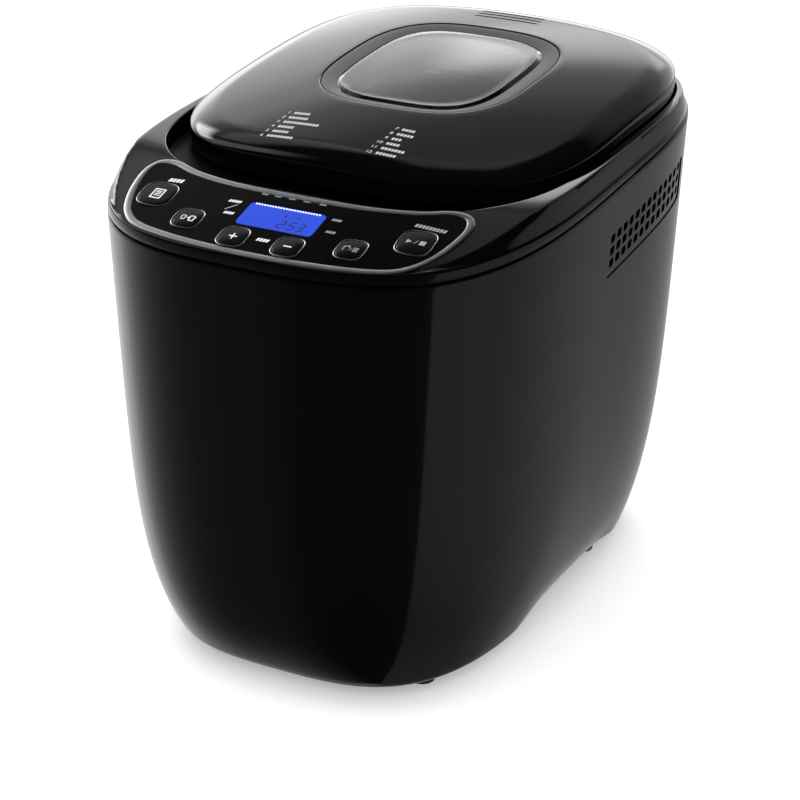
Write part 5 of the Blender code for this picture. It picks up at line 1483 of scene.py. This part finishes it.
def pan_rings():
    """Up the outside, round the rolled rim, and down the inside to the floor."""
    floor, corner, inner_corner, roll = PAN_BOTTOM + 0.002, 0.005, 0.006, 0.0015
    rings = [pan_ring(PAN_BOTTOM, -0.020)] + pan_bend(PAN_BOTTOM + corner, -corner, corner, -90, 0, 5)
    sides = [(0.12, 0.0), (0.16, 0.0), (0.20, 0.0), (PAN_TOP - 0.0070, 0.0), (PAN_TOP - 0.0050, 0.0)]
    sides += [(PAN_TOP - 0.0038, 0.0006), (PAN_TOP - 0.0032, 0.0020), (PAN_TOP - 0.0030, 0.0034)]
    rings += [pan_ring(*side) for side in sides]
    rings += pan_bend(PAN_TOP - roll, PAN_RIM - roll, roll, -60, 90, 8)
    sides = [(PAN_TOP, 0.0008), (PAN_TOP - 0.0002, -PAN_WALL + 0.0006), (PAN_TOP - 0.0009, -PAN_WALL)]
    sides += [(z, -PAN_WALL) for z in (0.20, 0.16, 0.12)]
    rings += [pan_ring(*side) for side in sides]
    rings += pan_bend(floor + inner_corner, -PAN_WALL - inner_corner, inner_corner, 0, -90, 5)
    return rings + [pan_ring(floor, -0.024)]


baking_pan = loft("baking_pan", pan_rings(), "pan", ["bread_pan"], COATING)
cut_away(baking_pan, [shaft_hole("pan_hole", 0.0046, 0.07, 0.11)], solver="MANIFOLD")
print("oven and pan faces", len(chamber.data.polygons), len(baking_pan.data.polygons))


# %% [markdown]
# Every other node keeps its CAD shape and gets a finish here. They are pieces that only show when
# the machine is opened or turned over.

# %% Finishes for the rest
FINISHES = {
    MATT: "base_plate display_module large_pulley motor_pulley cooling_fan",
    RUBBER: "cord_gland drive_belt",
    BOARD: "control_board power_board",
    COATING: "kneading_paddle",
    CAST: "pan_bearing pan_seat",
    BRONZE: "shaft_bearing",
    GALVANISED: "motor_body motor_bracket chamber_bracket",
    STEEL: "heating_element temperature_sensor pan_handle pan_shaft drive_shaft drive_coupling motor_shaft "
    "hinge_pin_left hinge_pin_right base_screw_1 base_screw_2 base_screw_3 base_screw_4",
}
for finish, nodes in FINISHES.items():
    for node in nodes.split():
        dress(bpy.data.objects[node], finish)
    print(finish.name, nodes)


# %% [markdown]
# A mirror-black object shows only what it reflects, so the room matters more than the lamps. The
# room here is a world whose brightness depends on the direction a reflected ray takes: a bright
# wall behind and to the left, darkness in front, and a dim wall on the right with a sharp edge. The
# walls fade towards the floor. WALLS gives level by angle round the machine, CEILING gives it by
# height behind the machine, and PATCHES are soft boxes of light for the deck, the rims and the lid.
# Other rays see an even white room, which lights the print and the floor.

# %% The room
WALLS = (
    (-180, 0.50), (-160, 0.60), (-148, 0.78), (-137, 0.95), (-120, 1.30),
    (-103, 1.42), (-86, 0.88), (-70, 0.45), (-55, 0.22), (-42, 0.12),
    (-33, 0.08), (-24, 0.03), (0, 0.02), (50, 0.03), (59, 0.06),
    (61, 0.33), (100, 0.34), (115, 0.30), (127, 0.30), (158, 0.30),
    (168, 0.42), (180, 0.50),
)
CEILING = (
    (0, 2.6), (10, 3.0), (15, 1.9), (18, 1.6), (20, 1.45),
    (22.5, 1.15), (25, 0.98), (26.5, 0.70), (28, 0.50), (30, 0.42),
    (33, 0.25), (38, 0.17), (42, 0.012), (90, 0.012),
)
# left, right, low, high and softness in degrees, and level
PATCHES = (
    (-112.0, -72.0, 8.0, 62.0, 10.0, 0.9),
    (-128.0, -98.0, 14.0, 34.0, 6.0, 5.0),
    (-148.0, -112.0, 33.0, 50.0, 6.0, 0.45),
    (-176.0, -150.0, 17.0, 27.0, 4.0, 1.3),
    (-172.0, -140.0, 36.0, 62.0, 8.0, 0.30),
)
BRIGHTEST = 4.0
world = bpy.data.worlds.new("room")
bpy.context.scene.world = world
world.cycles.sampling_method = "NONE"
world.use_nodes = True
tree = world.node_tree
background = tree.nodes["Background"]
ray = tree.nodes.new("ShaderNodeLightPath")
direction = Wire(tree, tree.nodes.new("ShaderNodeTexCoord").outputs["Generated"])
parts = direction.node("ShaderNodeSeparateXYZ", {}, Vector=direction)
east, north, up = (Wire(tree, parts.outputs[i]) for i in range(3))
round_angle = direction.sum("ARCTAN2", east, north * -1.0) * (1 / (2 * math.pi)) + 0.5
height_angle = direction.sum("ARCSINE", up) * (2 / math.pi)
turn = round_angle * 360.0 - 180.0


def ramp(place, stops):
    made = direction.node("ShaderNodeValToRGB", {"stops": stops}, Fac=place)
    return Wire(tree, made.outputs["Color"]) * BRIGHTEST


def box_of_light(left, right, low, high, soft, level):
    """A soft-edged patch of the room, between angles in degrees."""
    rise = height_angle * 90.0
    across = turn.smooth(left, left + soft) * (1 - turn.smooth(right - soft, right))
    return across * rise.smooth(low, low + soft) * (1 - rise.smooth(high - soft, high)) * level


walls = ramp(round_angle, [((angle + 180) / 360, level / BRIGHTEST) for angle, level in WALLS])
rear = ramp(height_angle, [(angle / 90, level / BRIGHTEST) for angle, level in CEILING])
behind = (1 - turn.smooth(-128.0, -100.0)) + turn.smooth(150.0, 176.0)
above = height_angle.smooth(-0.04, 0.04)
low_down = 0.45 + height_angle.smooth(-0.62, -0.26) * 0.55
seen = walls * low_down * (1 - above) + rear * behind * above
for patch in PATCHES:
    seen = seen + box_of_light(*patch)
glossy = Wire(tree, ray.outputs["Is Glossy Ray"])
level = seen * glossy + (1 - glossy)
tree.links.new(level.socket, background.inputs["Color"])
background.inputs["Strength"].default_value = 1.0
print("room stops", len(WALLS), len(CEILING))


# %% [markdown]
# Large soft lamps above make the soft shadow under the machine. They are hidden from reflections,
# so the room alone decides what the gloss shows. The floor is a wide pale sheet that glows a little,
# as a lit studio sweep does, so the shadow stays close to the feet.

# %% Floor, lamps and camera
bm = bmesh.new()
bmesh.ops.create_grid(bm, x_segments=2, y_segments=2, size=6.0)
floor = solid_from(bm, "floor")
floor_finish, floor_shader, floor_place = start_finish("pale_floor", (0.86, 0.86, 0.86), 0.9)
tint(floor_place, noise(floor_place, 3.0), (0.85, 0.85, 0.85), (0.87, 0.87, 0.87), floor_shader)
floor_shader.inputs["Emission Color"].default_value = (1, 1, 1, 1)
floor_shader.inputs["Emission Strength"].default_value = 0.28
floor.data.materials.append(floor_finish)
floor.visible_glossy = False


def lamp(name, place, aim, size, power):
    light = bpy.data.lights.new(name, "AREA")
    light.shape = "DISK"
    light.size = size
    light.energy = power
    made = bpy.data.objects.new(name, light)
    made.location = place
    made.rotation_euler = (Vector(aim) - Vector(place)).to_track_quat("-Z", "Y").to_euler()
    made.visible_glossy = False
    bpy.context.scene.collection.objects.link(made)
    return made


lamp("overhead", (-0.3, 0.1, 2.2), (0.0, 0.0, 0.0), 2.2, 34.0)
lamp("front_fill", (0.9, -2.0, 1.4), (0.0, 0.0, 0.15), 1.6, 14.0)

camera_data = bpy.data.cameras.new("camera")
camera_data.lens = 112.5
camera_data.sensor_width = 36.0
camera = bpy.data.objects.new("camera", camera_data)
camera.location = (0.646, -1.211 + MIDDLE_Y, 0.744)
camera.rotation_euler = Vector((-0.4283, 0.8029, -0.4147)).to_track_quat("-Z", "Y").to_euler()
bpy.context.scene.collection.objects.link(camera)
bpy.context.scene.camera = camera
bpy.context.scene.view_settings.view_transform = "Standard"
